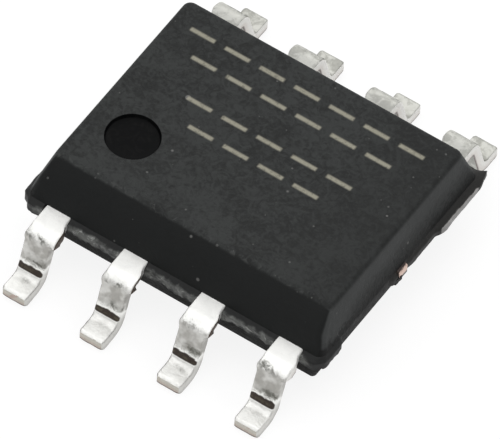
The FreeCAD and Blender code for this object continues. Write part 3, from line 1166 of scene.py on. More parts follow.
@dataclass(frozen=True)
class SheetFinish(MetalFinish):
    """Bare alloy sheet whose cut tie bars are smeared pale above and dark along their edges."""

    cut: Colour = (0.66, 0.50, 0.43)
    stain: Colour = (0.022, 0.009, 0.006)
    stained_metallic: float = 0.2
    cloud_size: float = 1.5
    ragged: float = 0.05
    band_start: Ramp = Ramp(0.765, 0.787)
    band_end: Ramp = Ramp(0.887, 0.903, 1.0, 0.0)
    outside: Ramp = Ramp(2.39, 2.40)

    def dress(self, w: Wiring, effects: Effects) -> Feeds:
        """Works out what feeds the shader.

        Args:
            w: Where the nodes go.
            effects: The shared effects.

        Returns:
            A source for each input that isn't left as it is.
        """
        plain = super().dress(w, effects)
        place = w.place()
        x, _, z = w.axes(place)
        cloud = w.group(effects.grain, {"Place": place, "Size": self.cloud_size})["Swirl"]
        height = w.total(z, w.swing(cloud, self.ragged))
        smeared = w.times(w.span(height, *self.band_start), w.span(height, *self.band_end))
        end = w.blend(smeared, self.stain, self.cut)
        beyond = w.span(w.size(x), *self.outside)
        return {**plain, "Base Color": w.blend(beyond, plain["Base Color"], end),
                "Metallic": w.span(smeared, 0.0, 1.0, self.stained_metallic, self.metallic)}


# A darker copy of the resin with little sheen: painted shade on the half below the band.
RESIN_SHADED_BELOW = ResinFinish("resin_below", deep=(0.004, 0.004, 0.004), pale=(0.012, 0.012, 0.011),
                          sheen=0.04)
RESIN_DARK = ResinFinish("resin_dark_lump", deep=(0.004, 0.004, 0.004), pale=(0.014, 0.013, 0.012))
RESIN_BROKEN = FlashFinish("resin_broken", deep=(0.009, 0.0085, 0.0075), pale=(0.36, 0.35, 0.34),
                           spot=(0.50, 0.49, 0.47))
TIN_MATT = TinFinish()
# A darker, more stained copy of the tin plate for the rear row; its darkness is painted shade.
TIN_REAR_SHADED = TinFinish("tin_dull", bright=(0.60, 0.60, 0.56), dull=(0.40, 0.40, 0.37), wear=0.60,
                     mottle=0.40)
TIP_SHEARED = ShearFinish("tin_sheared_tip")
SIDE_DARK = ShearFinish("alloy_sheared_dark", smear=(0.16, 0.12, 0.09), bare=(0.07, 0.045, 0.03),
                        share=0.6)
SIDE_PALE = ShearFinish("alloy_sheared_pale", smear=(0.86, 0.85, 0.82), bare=(0.72, 0.66, 0.61),
                        share=0.30)


# The moulding

@dataclass(frozen=True)
class Level:
    """A level section of the moulding, mm: height, half length, front and rear y, corner radius."""

    height: float
    half_length: float
    front: float
    rear: float
    corner: float = 0.12


class Recess(NamedTuple):
    """A round recess in a level face, mm: its middle, radius and signed depth."""

    centre: tuple[float, float]
    radius: float
    depth: float


@dataclass
class MouldedBody:
    """The epoxy moulding: two drafted halves on a band as high as the strip, a bevel, recesses."""

    low_band: Level = Level(0.73, 2.425, -1.95, 1.95)
    high_band: Level = Level(0.91, 2.425, -1.95, 1.95)
    bevel_start: Level = Level(1.21, 2.3446, -1.847, 1.847)
    top: Level = Level(1.51, 2.264, -1.517, 1.743)
    underside: Level = Level(0.10, 2.208, -1.757, 1.757, 0.06)
    corner_steps: int = 8
    top_rounding: tuple[float, int] = (0.06, 5)
    band_rounding: tuple[float, int] = (0.012, 2)
    base_rounding: tuple[float, int] = (0.05, 3)
    cap_margin: float = 0.02
    index: Recess = Recess((-1.549, -0.687), 0.39, -0.06)
    ejectors: tuple[Recess, ...] = (Recess((-1.15, 0.0), 0.45, 0.04), Recess((1.15, 0.0), 0.45, 0.04))
    rim: float = 0.02
    recess_wall: tuple[tuple[float, float], ...] = (
        (0.006, 0.04), (0.0, 0.16), (-0.008, 0.75), (-0.018, 0.95), (-0.035, 1.0))
    recess_steps: int = 72
    index_margin: float = 0.004

    def build(self, effects: Effects) -> bpy.types.Object:
        """Builds and dresses the moulding.

        Args:
            effects: The shared effects.

        Returns:
            The finished piece.
        """
        bm = self.block()
        for old, new in ((self.high_band, self.bevel_start), (self.bevel_start, self.top),
                         (self.low_band, self.underside)):
            self.draw_out(bm, old, new)
        self.round_edges(bm)
        self.close_cap(bm, self.top.height, (self.index,))
        self.close_cap(bm, self.underside.height, self.ejectors)
        self.number_faces(bm)
        bmesh.ops.translate(bm, vec=(BODY_SHIFT, 0, 0), verts=bm.verts)
        finishes = (BodyFinish("resin_body"), RecessFinish(), RESIN_SHADED_BELOW)
        return make_object(bm, "body_shell", [finish.material(effects) for finish in finishes])

    def block(self) -> BMesh:
        """Makes the straight band of the body, with rounded upright corners.

        Returns:
            The new mesh.
        """
        bm = bmesh.new()
        low, high = self.low_band, self.high_band
        size = (2 * low.half_length, low.rear - low.front, high.height - low.height)
        bmesh.ops.create_cube(bm, size=1.0)
        bmesh.ops.scale(bm, vec=size, verts=bm.verts)
        bmesh.ops.translate(bm, vec=(0, 0, (low.height + high.height) / 2), verts=bm.verts)
        upright = [e for e in bm.edges if abs(e.verts[0].co.z - e.verts[1].co.z) > SAME_PLACE]
        round_off(bm, upright, low.corner, self.corner_steps)
        return bm

    @staticmethod
    def draw_out(bm: BMesh, old: Level, new: Level) -> None:
        """Extrudes the cap at one level to the next.

        Args:
            bm: The mesh of the moulding.
            old: Level of the cap.
            new: Level to which it goes.
        """
        cap = level_faces(bm, old.height)
        verts = verts_of(bmesh.ops.extrude_face_region(bm, geom=cap)["geom"])
        bmesh.ops.delete(bm, geom=cap, context="FACES_ONLY")
        longer, higher = new.half_length - old.half_length, new.height - old.height
        for vert in verts:
            wider = new.front - old.front if vert.co.y < 0 else new.rear - old.rear
            vert.co += Vector((math.copysign(1.0, vert.co.x) * longer, wider, higher))
            edge = Vector((new.half_length, new.front if vert.co.y < 0 else new.rear))
            for axis in range(2):
                side = math.copysign(1.0, vert.co[axis])
                past = abs(vert.co[axis]) - abs(edge[axis]) + old.corner
                if past > 0:
                    inner = abs(edge[axis]) - new.corner
                    vert.co[axis] = side * (inner + past * new.corner / old.corner)

    def round_edges(self, bm: BMesh) -> None:
        """Rounds the edges that run round the body at each level.

        Args:
            bm: The mesh of the moulding.
        """
        for level, rounding in ((self.top, self.top_rounding),
                                (self.high_band, self.band_rounding),
                                (self.low_band, self.band_rounding),
                                (self.underside, self.base_rounding)):
            round_off(bm, level_edges(bm, level.height), *rounding)

    def close_cap(self, bm: BMesh, height: float, recesses: Sequence[Recess]) -> None:
        """Puts round recesses into a level face.

        Args:
            bm: The mesh of the moulding.
            height: Height of the face.
            recesses: What to put into it.
        """
        cap = level_faces(bm, height)
        bmesh.ops.inset_region(bm, faces=cap, thickness=self.cap_margin, use_even_offset=True)
        cap = [f for f in level_faces(bm, height) if len(f.verts) > 4]
        loop = [e for f in cap for e in f.edges]
        bmesh.ops.delete(bm, geom=cap, context="FACES_ONLY")
        for recess in recesses:
            loop += self.spin_recess(bm, recess, height)
        bmesh.ops.triangle_fill(bm, use_beauty=True, edges=loop, normal=(0, 0, 1))

    def spin_recess(self, bm: BMesh, recess: Recess, height: float) -> list[BMEdge]:
        """Spins the profile of a round recess.

        Args:
            bm: The mesh of the moulding.
            recess: Its middle, radius and depth.
            height: Height of the face that it is in.

        Returns:
            The edges of its rim.
        """
        middle = Vector((*recess.centre, height))
        rim = recess.radius + self.rim
        wall = [(recess.radius + out, share) for out, share in self.recess_wall]
        verts = [add_vert(bm, middle + Vector((reach, 0, recess.depth * share)))
                 for reach, share in ((rim, 0.0), *wall, (recess.radius / 2, 1.0), (0.0, 1.0))]
        edges = [bm.edges.new(pair) for pair in zip(verts, verts[1:])]
        bmesh.ops.spin(bm, geom=verts + edges, cent=middle, axis=(0, 0, 1), angle=2 * math.pi,
                       steps=self.recess_steps, use_merge=True)
        bmesh.ops.remove_doubles(bm, verts=bm.verts, dist=MERGE)
        return [e for e in level_edges(bm, height)
                if all(abs((v.co - middle).length - rim) < SAME_PLACE for v in e.verts)]

    def number_faces(self, bm: BMesh) -> None:
        """Gives the index recess its own material, and the half below the band a darker resin that holds
        painted shade.

        Args:
            bm: The mesh of the moulding.
        """
        centre = Vector(self.index.centre)
        reach = self.index.radius + self.index_margin
        for face in bm.faces:
            middle = face.calc_center_median()
            # The half below the band takes the resin with painted shade.
            if middle.z < self.low_band.height:
                face.material_index = 2
            elif middle.z > self.bevel_start.height and (middle.xy - centre).length < reach:
                face.material_index = 1


# Resin between and beside the leads

@dataclass(frozen=True)
class Wrap:
    """How far a ridge that wraps a corner stands out, as shares of its full depth.

    Distances count along the end wall from the middle of the body, mm. A ridge with a low share
    goes on as a low shelf, with a hollow where the tie bar comes out.
    """

    end_y: float
    taper: float
    corner: float
    end: float
    low: float = 0.0
    low_end: float = 0.0
    low_taper: float = 0.06
    bar: float = 0.04
    bar_reach: float = 0.17
    hollow: float = 0.3

    def share(self, distance: float) -> float:
        """How far the ridge stands out at a place on the end wall.

        Args:
            distance: The place.

        Returns:
            A share of the full depth.
        """
        full = self.end * ease((distance - self.end_y) / self.taper)
        if not self.low:
            return full
        shelf = self.low * ease((distance - self.low_end) / self.low_taper)
        hollow = ease(2.0 * (1.0 - abs(distance - self.bar) / self.bar_reach))
        return max(full, shelf * (1.0 - self.hollow * hollow))


@dataclass(frozen=True)
class Ridge:
    """One ridge: where it runs along the front row, and how it is carried to its own place."""

    name: str
    seed: float
    start: float
    turn: Matrix
    end: float = 0.0
    wrap: Wrap | None = None
    shift: float = 0.0


@dataclass(frozen=True)
class SkinTone:
    """How pale the skin of a ridge is, darkened as painted shade by depth, past the corner, by height
    and near the ends.
    """

    depth: tuple[float, float] = (0.012, 0.035)
    corner: tuple[float, float, float] = (0.05, 0.15, 0.45)
    above: tuple[float, float] = (0.20, 0.075)
    foot: tuple[float, float] = (0.35, 0.045)
    beside: tuple[float, float, float] = (2.18, 0.15, 0.45)
    broken: tuple[float, float] = (0.1, 1.6)
    broken_edge: tuple[float, float] = (0.86, 0.20)
    broken_end: tuple[float, float] = (1.85, 0.15)


@dataclass
class ResinRidge:
    """The resin that the dam bar shaped at the parting band, ragged along its lower edge."""

    wall_y: float = 1.95
    wall_x: float = 2.425
    proud: float = 0.088
    inside: float = 0.03
    top: float = 0.905
    shelf: float = 0.845
    base: float = 0.735
    foot: tuple[float, float] = (0.03, 0.02)
    cuts: int = 3
    corner_radius: float = 0.12
    corner_steps: int = 12
    tuck: float = 0.006
    plain_wrap: Wrap = Wrap(1.42, 0.12, 0.75, 0.62)
    cut_wrap: Wrap = Wrap(1.10, 0.50, 0.40, 1.0)
    gate_wrap: Wrap = Wrap(0.66, 0.34, 1.0, 1.20, 0.50, -0.27)
    gate_name: str = "gate_remnant"
    gate_base: float = 0.785
    gate_rise: tuple[float, float] = (0.9, 0.3)
    point: Vector = Vector((0.012, 0.135, 0.0))
    point_place: Vector = Vector((0.027, 0.030))
    point_reach: float = 0.16
    step: float = 0.022
    tone: SkinTone = SkinTone()
    skin_depth: float = 0.004
    bumps: tuple[tuple[float, float, float], ...] = ((11.0, 0.016, 0.0), (27.0, 0.0064, 3.0))
    calm_x: float = 2.2
    calm_share: float = 0.4
    sag: float = 0.060
    sag_height: float = 0.03
    sag_waves: tuple[float, float] = (5.0, 17.0)
    sag_levels: tuple[float, float] = (0.35, 0.5)

    def section(self, bm: BMesh, x: float) -> list[BMFace]:
        """Makes the cross-section at x on the front side, with its edges divided.

        Args:
            bm: The mesh to make it in.
            x: Its place along the row, mm.

        Returns:
            Its face, as a list.
        """
        foot, drop = self.foot
        outline = ((-self.inside, self.top), (0.0, self.top), (self.proud, self.shelf),
                   (self.proud, self.base), (foot, self.base - drop), (-self.inside, self.base - drop))
        face = bm.faces.new([add_vert(bm, (x, -self.wall_y - out, z)) for out, z in outline])
        bmesh.ops.subdivide_edges(bm, edges=list(face.edges), cuts=self.cuts)
        return [face]

    def run(self, sheet: Sweep, length: float) -> None:
        """Draws a ridge out straight ahead, in short steps."""
        sheet.straight(length, max(2, round(length / self.step)))

    def draw(self, bm: BMesh, ridge: Ridge) -> None:
        """Draws a ridge out along the front, and round the right corner where it has a wrap.

        Args:
            bm: The mesh to draw into.
            ridge: Where it starts and ends, or how it wraps.
        """
        sheet = Sweep(bm, self.section(bm, ridge.start), Vector((1, 0, 0)))
        shape = ridge.wrap
        if shape is None:
            self.run(sheet, ridge.end - ridge.start)
            return
        corner_x, corner_y = self.wall_x - self.corner_radius, self.corner_radius - self.wall_y
        self.run(sheet, corner_x - ridge.start)
        sheet.turn(Vector((corner_x, corner_y, 0)), Vector((0, 0, 1)), math.pi / 2,
                   self.corner_radius, self.corner_steps)
        self.run(sheet, -(shape.low_end if shape.low else shape.end_y) - corner_y)
        corner = Vector((corner_x, corner_y))
        for vert in bm.verts:
            out = self.out(vert.co)
            if out > 0:
                away, share = self.bearing(vert.co.xy - corner, -vert.co.y, shape)
                vert.co.xy -= away * (out + self.tuck) * (1 - share)

    @staticmethod
    def bearing(spot: Vector, distance: float, shape: Wrap) -> tuple[Vector, float]:
        """Which way the wall faces at a place and how far the ridge stands out there.

        Args:
            spot: The place, seen from the centre of the corner, mm.
            distance: How far it lies along the end wall from the middle of the body, mm.
            shape: How the ridge wraps the corner.

        Returns:
            The direction away from the wall and a share of the full depth.
        """
        if spot.y > 0:
            return Vector((1.0, 0.0)), shape.share(distance)
        if spot.x <= 0:
            return Vector((0.0, -1.0)), 1.0
        angle = math.degrees(math.atan2(-spot.y, spot.x))
        share = 1.0 + (shape.corner - 1.0) * ease((90.0 - angle) / 45.0)
        return spot.normalized(), share + (shape.end - shape.corner) * ease((45.0 - angle) / 45.0)

    def out(self, point: Vector) -> float:
        """How far a point stands out from the wall of the band.

        Args:
            point: The point, mm.

        Returns:
            The distance, mm, negative inside.
        """
        past_x, past_y = abs(point.x) - self.wall_x, abs(point.y) - self.wall_y
        corner = (max(past + self.corner_radius, 0.0) for past in (past_x, past_y))
        return max(past_x, past_y, math.hypot(*corner) - self.corner_radius)

    def skin_tone(self, point: Vector) -> float:
        """How pale the skin is at a point, with painted shade in its darker parts.

        Args:
            point: The point, mm.

        Returns:
            Its tone, 0 being dark.
        """
        start, reach = self.tone.depth
        depth = held((self.out(point) - start) / reach)
        margin, reach, drop = self.tone.corner
        past_corner = 1.0 - drop * held((self.wall_y - margin - abs(point.y)) / reach)
        least, reach = self.tone.above
        height = least + (1.0 - least) * ease((self.top - point.z) / reach)
        least, reach = self.tone.foot
        foot = least + (1.0 - least) * ease((point.z - self.base) / reach)
        start, reach, drop = self.tone.beside
        return depth * past_corner * height * foot * (1.0 - drop * ease((abs(point.x) - start) / reach))

    def gate_tone(self, point: Vector) -> float:
        """How pale the skin of the gate remnant is at a point: its broken outer edge is palest.

        Args:
            point: The point, mm.

        Returns:
            Its tone, 0 being dark.
        """
        (low, reach), (end, fade) = self.tone.broken_edge, self.tone.broken_end
        edge = ease((self.out(point) / self.proud - low) / reach) * ease((end - point.y) / fade)
        least, more = self.tone.broken
        return least + more * edge

    def lift_base(self, bm: BMesh) -> None:
        """Raises the lower edge of the gate remnant near the corner.

        Args:
            bm: The mesh of the ridge.
        """
        start, reach = self.gate_rise
        for vert in bm.verts:
            if vert.co.y < self.wall_y:
                rise = (self.gate_base - self.base) * ease((vert.co.y - start) / reach)
                vert.co.z = max(vert.co.z, self.base - self.foot[1] + rise)

    def pull_corner(self, bm: BMesh) -> None:
        """Draws the rear right corner of the ridge out to a broken point.

        Args:
            bm: The mesh of the ridge.
        """
        corner = Vector((self.wall_x, self.wall_y)) + self.point_place
        for vert in bm.verts:
            share = max(0.0, 1.0 - (vert.co.xy - corner).length / self.point_reach) ** 2
            vert.co += self.point * share * held(self.out(vert.co) / self.proud)

    def stir(self, bm: BMesh, verts: list[BMVert], share: float, seed: float) -> None:
        """Makes part of the skin uneven.

        Args:
            bm: The mesh of the ridge.
            verts: The vertices of that part.
            share: How much of the full unevenness it gets.
            seed: Shifts the noise.
        """
        for scale, depth, shift in self.bumps:
            roughen(bm, verts, scale, depth * share, seed + shift)

    def sag_edge(self, skin: list[BMVert], seed: float) -> None:
        """Lets the lower edge of a ridge sag here and there.

        Args:
            skin: The vertices of its skin.
            seed: Shifts the noise.
        """
        (slow, fast), (level, fine) = self.sag_waves, self.sag_levels
        for vert in skin:
            x, y, z = vert.co
            if z < self.base + self.sag_height:
                wave = noise.noise(Vector((x * slow + seed, y * slow, seed)))
                ripple = noise.noise(Vector((x * fast, y * fast, seed + 7)))
                vert.co.z -= self.sag * max(0.0, level + wave + fine * ripple)

    def ruffle(self, bm: BMesh, seed: float, gate: bool) -> None:
        """Tones the skin of a ridge with painted shade, or the gate remnant's with its pale broken edge,
        and makes it uneven.

        Args:
            bm: The mesh of the ridge.
            seed: Shifts the noise.
            gate: Whether it is the gate remnant, which is calm all over and doesn't sag.
        """
        layer = bm.verts.layers.float.new(TONE_LAYER)
        for vert in bm.verts:
            vert[layer] = self.gate_tone(vert.co) if gate else self.skin_tone(vert.co)
        if gate:
            self.lift_base(bm)
        skin = [v for v in bm.verts if self.out(v.co) > self.skin_depth]
        self.stir(bm, [v for v in skin if gate or abs(v.co.x) > self.calm_x], self.calm_share, seed)
        if not gate:
            self.stir(bm, [v for v in skin if abs(v.co.x) <= self.calm_x], 1.0, seed)
            self.sag_edge(skin, seed)

    def piece(self, ridge: Ridge, finish: bpy.types.Material) -> bpy.types.Object:
        """Builds one ridge.

        Args:
            ridge: Where it runs and where it is carried to.
            finish: Its material.

        Returns:
            The finished piece.
        """
        bm = bmesh.new()
        bm.verts.layers.float_vector.new(SHEET_LAYER)
        self.draw(bm, ridge)
        bmesh.ops.transform(bm, matrix=ridge.turn, verts=bm.verts)
        bmesh.ops.recalc_face_normals(bm, faces=bm.faces)
        gate = ridge.name == self.gate_name
        self.ruffle(bm, ridge.seed, gate)
        if gate:
            self.pull_corner(bm)
        bmesh.ops.translate(bm, vec=(ridge.shift, 0, 0), verts=bm.verts)
        return make_object(bm, ridge.name, (finish,), crease=60)

    def ridges(self) -> list[Ridge]:
        """Lists the ridges of both rows and the four that wrap the corners.

        Returns:
            The ridges, in the order in which they are built.
        """
        stay, half_turn = Matrix.Identity(4), Matrix.Rotation(math.pi, 4, "Z")
        across, along = Matrix.Diagonal((-1, 1, 1, 1)), Matrix.Diagonal((1, -1, 1, 1))
        gap = LeadPath.HALF_WIDTH + 0.002
        listed = []
        for k, (left, right) in enumerate(zip(LeadPath.ROW_X, LeadPath.ROW_X[1:])):
            for side, seed, turn in (("front", 2.3, stay), ("rear", 19.1, half_turn)):
                name = f"ridge_{side}_{k + 1}"
                listed.append(Ridge(name, seed + 5 * k, left + gap, turn, right - gap))
        start = LeadPath.ROW_X[-1] + gap
        for name, seed, wrap, turn in (("ridge_front_right", 41.0, self.plain_wrap, stay),
                                       ("ridge_front_left", 47.5, self.cut_wrap, across),
                                       (self.gate_name, 53.2, self.gate_wrap, along),
                                       ("ridge_rear_left", 59.9, self.plain_wrap, half_turn)):
            listed.append(Ridge(name, seed, start, turn, wrap=wrap, shift=BODY_SHIFT))
        return listed

    def build(self, effects: Effects) -> list[bpy.types.Object]:
        """Builds every ridge.

        Args:
            effects: The shared effects.

        Returns:
            The finished pieces.
        """
        skin, broken = FlashFinish().material(effects), RESIN_BROKEN.material(effects)
        return [self.piece(ridge, broken if ridge.name == self.gate_name else skin)
                for ridge in self.ridges()]


@dataclass
class ResinLump:
    """A lump of resin on the end wall beside the tie bar."""

    low: Vector = Vector((2.36, -0.18, 0.69))
    high: Vector = Vector((2.462, -0.02, 0.80))
    cuts: int = 7
    passes: int = 3
    rounding: float = 0.5
    bumps: tuple[tuple[float, float, float], ...] = ((9.0, 0.022, 71.0), (24.0, 0.022 / 3, 77.0))

    def build(self, effects: Effects) -> bpy.types.Object:
        """Builds the lump from a rounded block.

        Args:
            effects: The shared effects.

        Returns:
            The finished piece.
        """
        bm = bmesh.new()
        size = Matrix.Diagonal((*(self.high - self.low), 1.0))
        place = Matrix.Translation((self.low + self.high) / 2)
        bmesh.ops.create_cube(bm, size=1.0, matrix=place @ size)
        bmesh.ops.subdivide_edges(bm, edges=list(bm.edges), cuts=self.cuts, use_grid_fill=True)
        for _ in range(self.passes):
            bmesh.ops.smooth_vert(bm, verts=bm.verts, factor=self.rounding, use_axis_x=True,
                                  use_axis_y=True, use_axis_z=True)
        for scale, depth, seed in self.bumps:
            roughen(bm, bm.verts, scale, depth, seed)
        return make_object(bm, "resin_lump", (RESIN_DARK.material(effects),), crease=60)


# Leads

class LeadPath:
    """Places along a lead, mm. Distances along it count from its tip."""

    ROW_X = (-1.905, -0.635, 0.635, 1.905)
    HALF_WIDTH = 0.20
    THICKNESS = 0.18
    TIP = 3.0
    HEEL = 2.59
    SHOULDER = 2.353
    SHOULDER_HEIGHT = 0.82
    SHOULDER_INNER = 0.05
    HEEL_INNER = 0.12
    STUB_LEFT = 0.032
    STUB_LEFT_FADE = 0.13
    STUB_RIGHT = 0.070
    STUB_STEP = 0.04
    STUB_FADE = 0.21
    WALL = 1.95
    NECK_END = 1.67
    FLARE_END = 1.51
    MIDDLE_TIP = 1.17
    OUTER_TIP = 0.32
    MIDDLE_FLARE = 0.20
    OUTER_FLARE = 0.335
    RUN_OUT = HEEL - SHOULDER
    RISE = SHOULDER_HEIGHT - THICKNESS / 2
    TURN = math.atan2(RISE, RUN_OUT)
    HEEL_RADIUS = HEEL_INNER + THICKNESS / 2
    SHOULDER_RADIUS = SHOULDER_INNER + THICKNESS / 2
    HEEL_REACH = HEEL_RADIUS * math.tan(TURN / 2)
    SHOULDER_REACH = SHOULDER_RADIUS * math.tan(TURN / 2)
    FOOT = TIP - HEEL - HEEL_REACH
    LEG = math.hypot(RUN_OUT, RISE) - HEEL_REACH - SHOULDER_REACH
    LEG_START = FOOT + HEEL_RADIUS * TURN
    SHOULDER_START = LEG_START + LEG
    SHOULDER_END = SHOULDER_START + SHOULDER_RADIUS * TURN


@dataclass
class Lead:
    """One gull-wing lead, drawn out from its tip round the heel and the shoulder to its pad inside.

    The burrs and undercuts of the dam stubs are those of leads 1 to 3.
    """

    number: int
    upper_roll: tuple[float, int] = (0.028, 4)
    lower_roll: tuple[float, int] = (0.010, 2)
    burrs: tuple[float, ...] = (0.004, 0.036, 0.018)
    burr_place: float = 0.010
    burr_reach: float = 0.056
    undercuts: tuple[float, ...] = (0.10, 0.60, 0.45)
    left_rise: float = 0.13
    right_rise: float = 0.045
    stub_start: float = 0.6
    cut_margin: float = 0.018
    tip_reach: float = 0.060
    tip_steps: int = 6
    foot_steps: int = 7
    heel_steps: int = 12
    leg_steps: tuple[int, int] = (12, 3)
    shoulder_steps: int = 12
    neck_steps: tuple[int, int] = (11, 2)
    pad_steps: tuple[int, int] = (3, 4)
    columns: tuple[float, ...] = (-0.16, -0.12, -0.08, -0.04, 0.0, 0.04, 0.08, 0.12, 0.16)
    tip_rows: tuple[float, ...] = (0.05, 0.09, 0.13)
    tip_round: float = 0.014
    tip_soften: tuple[float, float] = (0.030, 0.4)
    tip_lift: tuple[float, float] = (0.030, 0.3)
    tip_narrow: float = 0.024
    bumps: tuple[tuple[float, float, float], ...] = ((8.0, 0.004, 3.1), (22.0, 0.0016, 5.7))
    bump_margin: float = 0.02
    side_slope: float = 0.6
    tip_slope: float = 0.8

    @property
    def node(self) -> str:
        """The CAD node that the lead stands for."""
        return f"lead_{self.number}"

    @property
    def front(self) -> bool:
        """Whether the lead is in the front row."""
        return self.number <= 4

    @property
    def x(self) -> float:
        """Where the lead stands along its row, mm."""
        return LeadPath.ROW_X[self.number - 1 if self.front else 8 - self.number]

    def section(self, bm: BMesh) -> list[BMFace]:
        """Makes the sheet's cross-section at the tip, with its edges rolled.

        Args:
            bm: The mesh to make it in.

        Returns:
            Its face, as a list.
        """
        half, thick = LeadPath.HALF_WIDTH, LeadPath.THICKNESS
        corners = ((-half, 0.0), (half, 0.0), (half, thick), (-half, thick))
        verts = [add_vert(bm, (x, -LeadPath.TIP, z)) for x, z in corners]
        bm.faces.new(verts)
        round_off(bm, verts[2:], *self.upper_roll, affect="VERTICES")
        round_off(bm, verts[:2], *self.lower_roll, affect="VERTICES")
        layer = bm.verts.layers.float_vector[SHEET_LAYER]
        for vert in bm.verts:
            vert[layer] = (vert.co.x, 0.0, vert.co.z)
        return list(bm.faces)

    def draw(self, bm: BMesh) -> None:
        """Draws the lead out along the path of the front row, centred on x = 0.

        Args:
            bm: The mesh to draw into.
        """
        path = LeadPath
        sideways = Vector((1, 0, 0))
        bar = Sweep(bm, self.section(bm), Vector((0, 1, 0)))
        bar.straight(self.tip_reach, self.tip_steps)
        bar.straight(path.FOOT - self.tip_reach, self.foot_steps)
        heel = Vector((0, -path.HEEL - path.HEEL_REACH, path.THICKNESS / 2 + path.HEEL_RADIUS))
        bar.turn(heel, sideways, path.TURN, path.HEEL_RADIUS, self.heel_steps)
        for length, steps in zip((path.LEG - path.STUB_STEP, path.STUB_STEP), self.leg_steps):
            bar.straight(length, steps)
        shoulder_y = path.SHOULDER_REACH - path.SHOULDER
        shoulder = Vector((0, shoulder_y, path.SHOULDER_HEIGHT - path.SHOULDER_RADIUS))
        bar.turn(shoulder, sideways, -path.TURN, path.SHOULDER_RADIUS, self.shoulder_steps)
        lengths = (-path.WALL - shoulder_y, path.WALL - path.NECK_END)
        for length, steps in zip(lengths, self.neck_steps):
            bar.straight(length, steps)
        self.spread(bm)
        self.draw_pad(bar)

    def stub(self, along: float, side: int) -> float:
        """How far the dam stub stands out at a place along the lead. The rear row has none at left.

        Args:
            along: Distance from the tip, mm.
            side: 1 for the side at positive x, -1 for the other.

        Returns:
            The distance, mm.
        """
        path = LeadPath
        if side > 0:
            full, rise, end, fade = path.STUB_RIGHT, self.right_rise, path.SHOULDER_END, path.STUB_FADE
        else:
            full = path.STUB_LEFT if self.front else 0.0
            rise, end, fade = self.left_rise, path.SHOULDER_START, path.STUB_LEFT_FADE
        grown = ease((along - path.SHOULDER_START) / rise + self.stub_start)
        return full * grown * ease((end + fade - along) / fade)

    def spread(self, bm: BMesh) -> None:
        """Widens the lead where the dam bar was cut off, with a burr at the stub's lower right end.

        Args:
            bm: The mesh of the lead.
        """
        layer = bm.verts.layers.float_vector[SHEET_LAYER]
        for vert in bm.verts:
            across, along, through = vert[layer]
            side = 1 if across > 0 else -1
            below = 1.0 - through / LeadPath.THICKNESS
            move = self.stub(along, side)
            if side > 0 and self.number <= len(self.burrs):
                off = (along - LeadPath.SHOULDER_START - self.burr_place) / self.burr_reach
                move *= 1.0 - self.undercuts[self.number - 1] * below
                move += self.burrs[self.number - 1] * math.exp(-off * off) * below
            move *= side * abs(across) / LeadPath.HALF_WIDTH
            vert.co.x += move
            vert[layer] = (across + move, along, through)

    def draw_pad(self, bar: Sweep) -> None:
        """Flares the lead and draws out its inner pad.

        Args:
            bar: The lead so far.
        """
        path = LeadPath
        flare = path.NECK_END - path.FLARE_END
        middle_steps, outer_steps = self.pad_steps
        if abs(self.x) > 2 * path.ROW_X[2]:
            grows_left = (self.x > 0) == self.front
            left, right = (path.OUTER_FLARE, 0.0) if grows_left else (0.0, path.OUTER_FLARE)
            bar.widen(left, right, flare)
            bar.straight(path.FLARE_END - path.OUTER_TIP, outer_steps)
        else:
            bar.widen(path.MIDDLE_FLARE, path.MIDDLE_FLARE, flare)
            bar.straight(path.FLARE_END - path.MIDDLE_TIP, middle_steps)

    def divide(self, bm: BMesh) -> None:
        """Divides the lead lengthwise and its tip in height.

        Args:
            bm: The mesh of the lead.
        """
        for x in self.columns:
            bmesh.ops.bisect_plane(bm, geom=[*bm.verts, *bm.edges, *bm.faces], dist=MERGE,
                                   plane_co=(x, 0, 0), plane_no=(1, 0, 0))
        for z in self.tip_rows:
            tip = [f for f in bm.faces if f.calc_center_median().y < 0.02 - LeadPath.TIP]
            parts = {part for face in tip for part in (face, *face.edges, *face.verts)}
            bmesh.ops.bisect_plane(bm, geom=list(parts), dist=MERGE, plane_co=(0, 0, z),
                                   plane_no=(0, 0, 1))

    def soften_tip(self, bm: BMesh) -> None:
        """Lowers the upper edge of the tip, lifts the lower one and narrows it.

        Args:
            bm: The mesh of the lead.
        """
        (drop, drop_from), (lift, lift_least) = self.tip_soften, self.tip_lift
        for vert in bm.verts:
            back = max(0.0, 1.0 - (vert.co.y + LeadPath.TIP) / self.tip_reach) ** 2
            up = vert.co.z / LeadPath.THICKNESS
            outer = max(0.0, 2.0 * abs(vert.co.x) / LeadPath.HALF_WIDTH - 1.0) ** 2
            vert.co.z -= drop * back * max(0.0, up - drop_from) / (1.0 - drop_from)
            raised = lift * (lift_least + (1.0 - lift_least) * outer)
            vert.co.z += raised * back * max(0.0, 1.0 - 2.0 * up)
            vert.co.x -= math.copysign(self.tip_narrow * back * outer, vert.co.x)

    def refine(self, bm: BMesh) -> None:
        """Rounds and softens the tip and makes the skin slightly uneven.

        Args:
            bm: The mesh of the lead.
        """
        bmesh.ops.remove_doubles(bm, verts=bm.verts, dist=MERGE)
        bmesh.ops.recalc_face_normals(bm, faces=bm.faces)
        rim = [e for e in bm.edges if all(abs(v.co.y + LeadPath.TIP) < SAME_PLACE for v in e.verts)]
        bmesh.ops.bevel(bm, geom=rim, offset=self.tip_round, offset_type="OFFSET", segments=2,
                        profile=0.5, affect="EDGES", material=-1, clamp_overlap=True)
        self.divide(bm)
        self.soften_tip(bm)
        outside = [v for v in bm.verts if v.co.y < -LeadPath.WALL - self.bump_margin]
        for scale, depth, seed in self.bumps:
            roughen(bm, outside, scale, depth, seed * self.number)

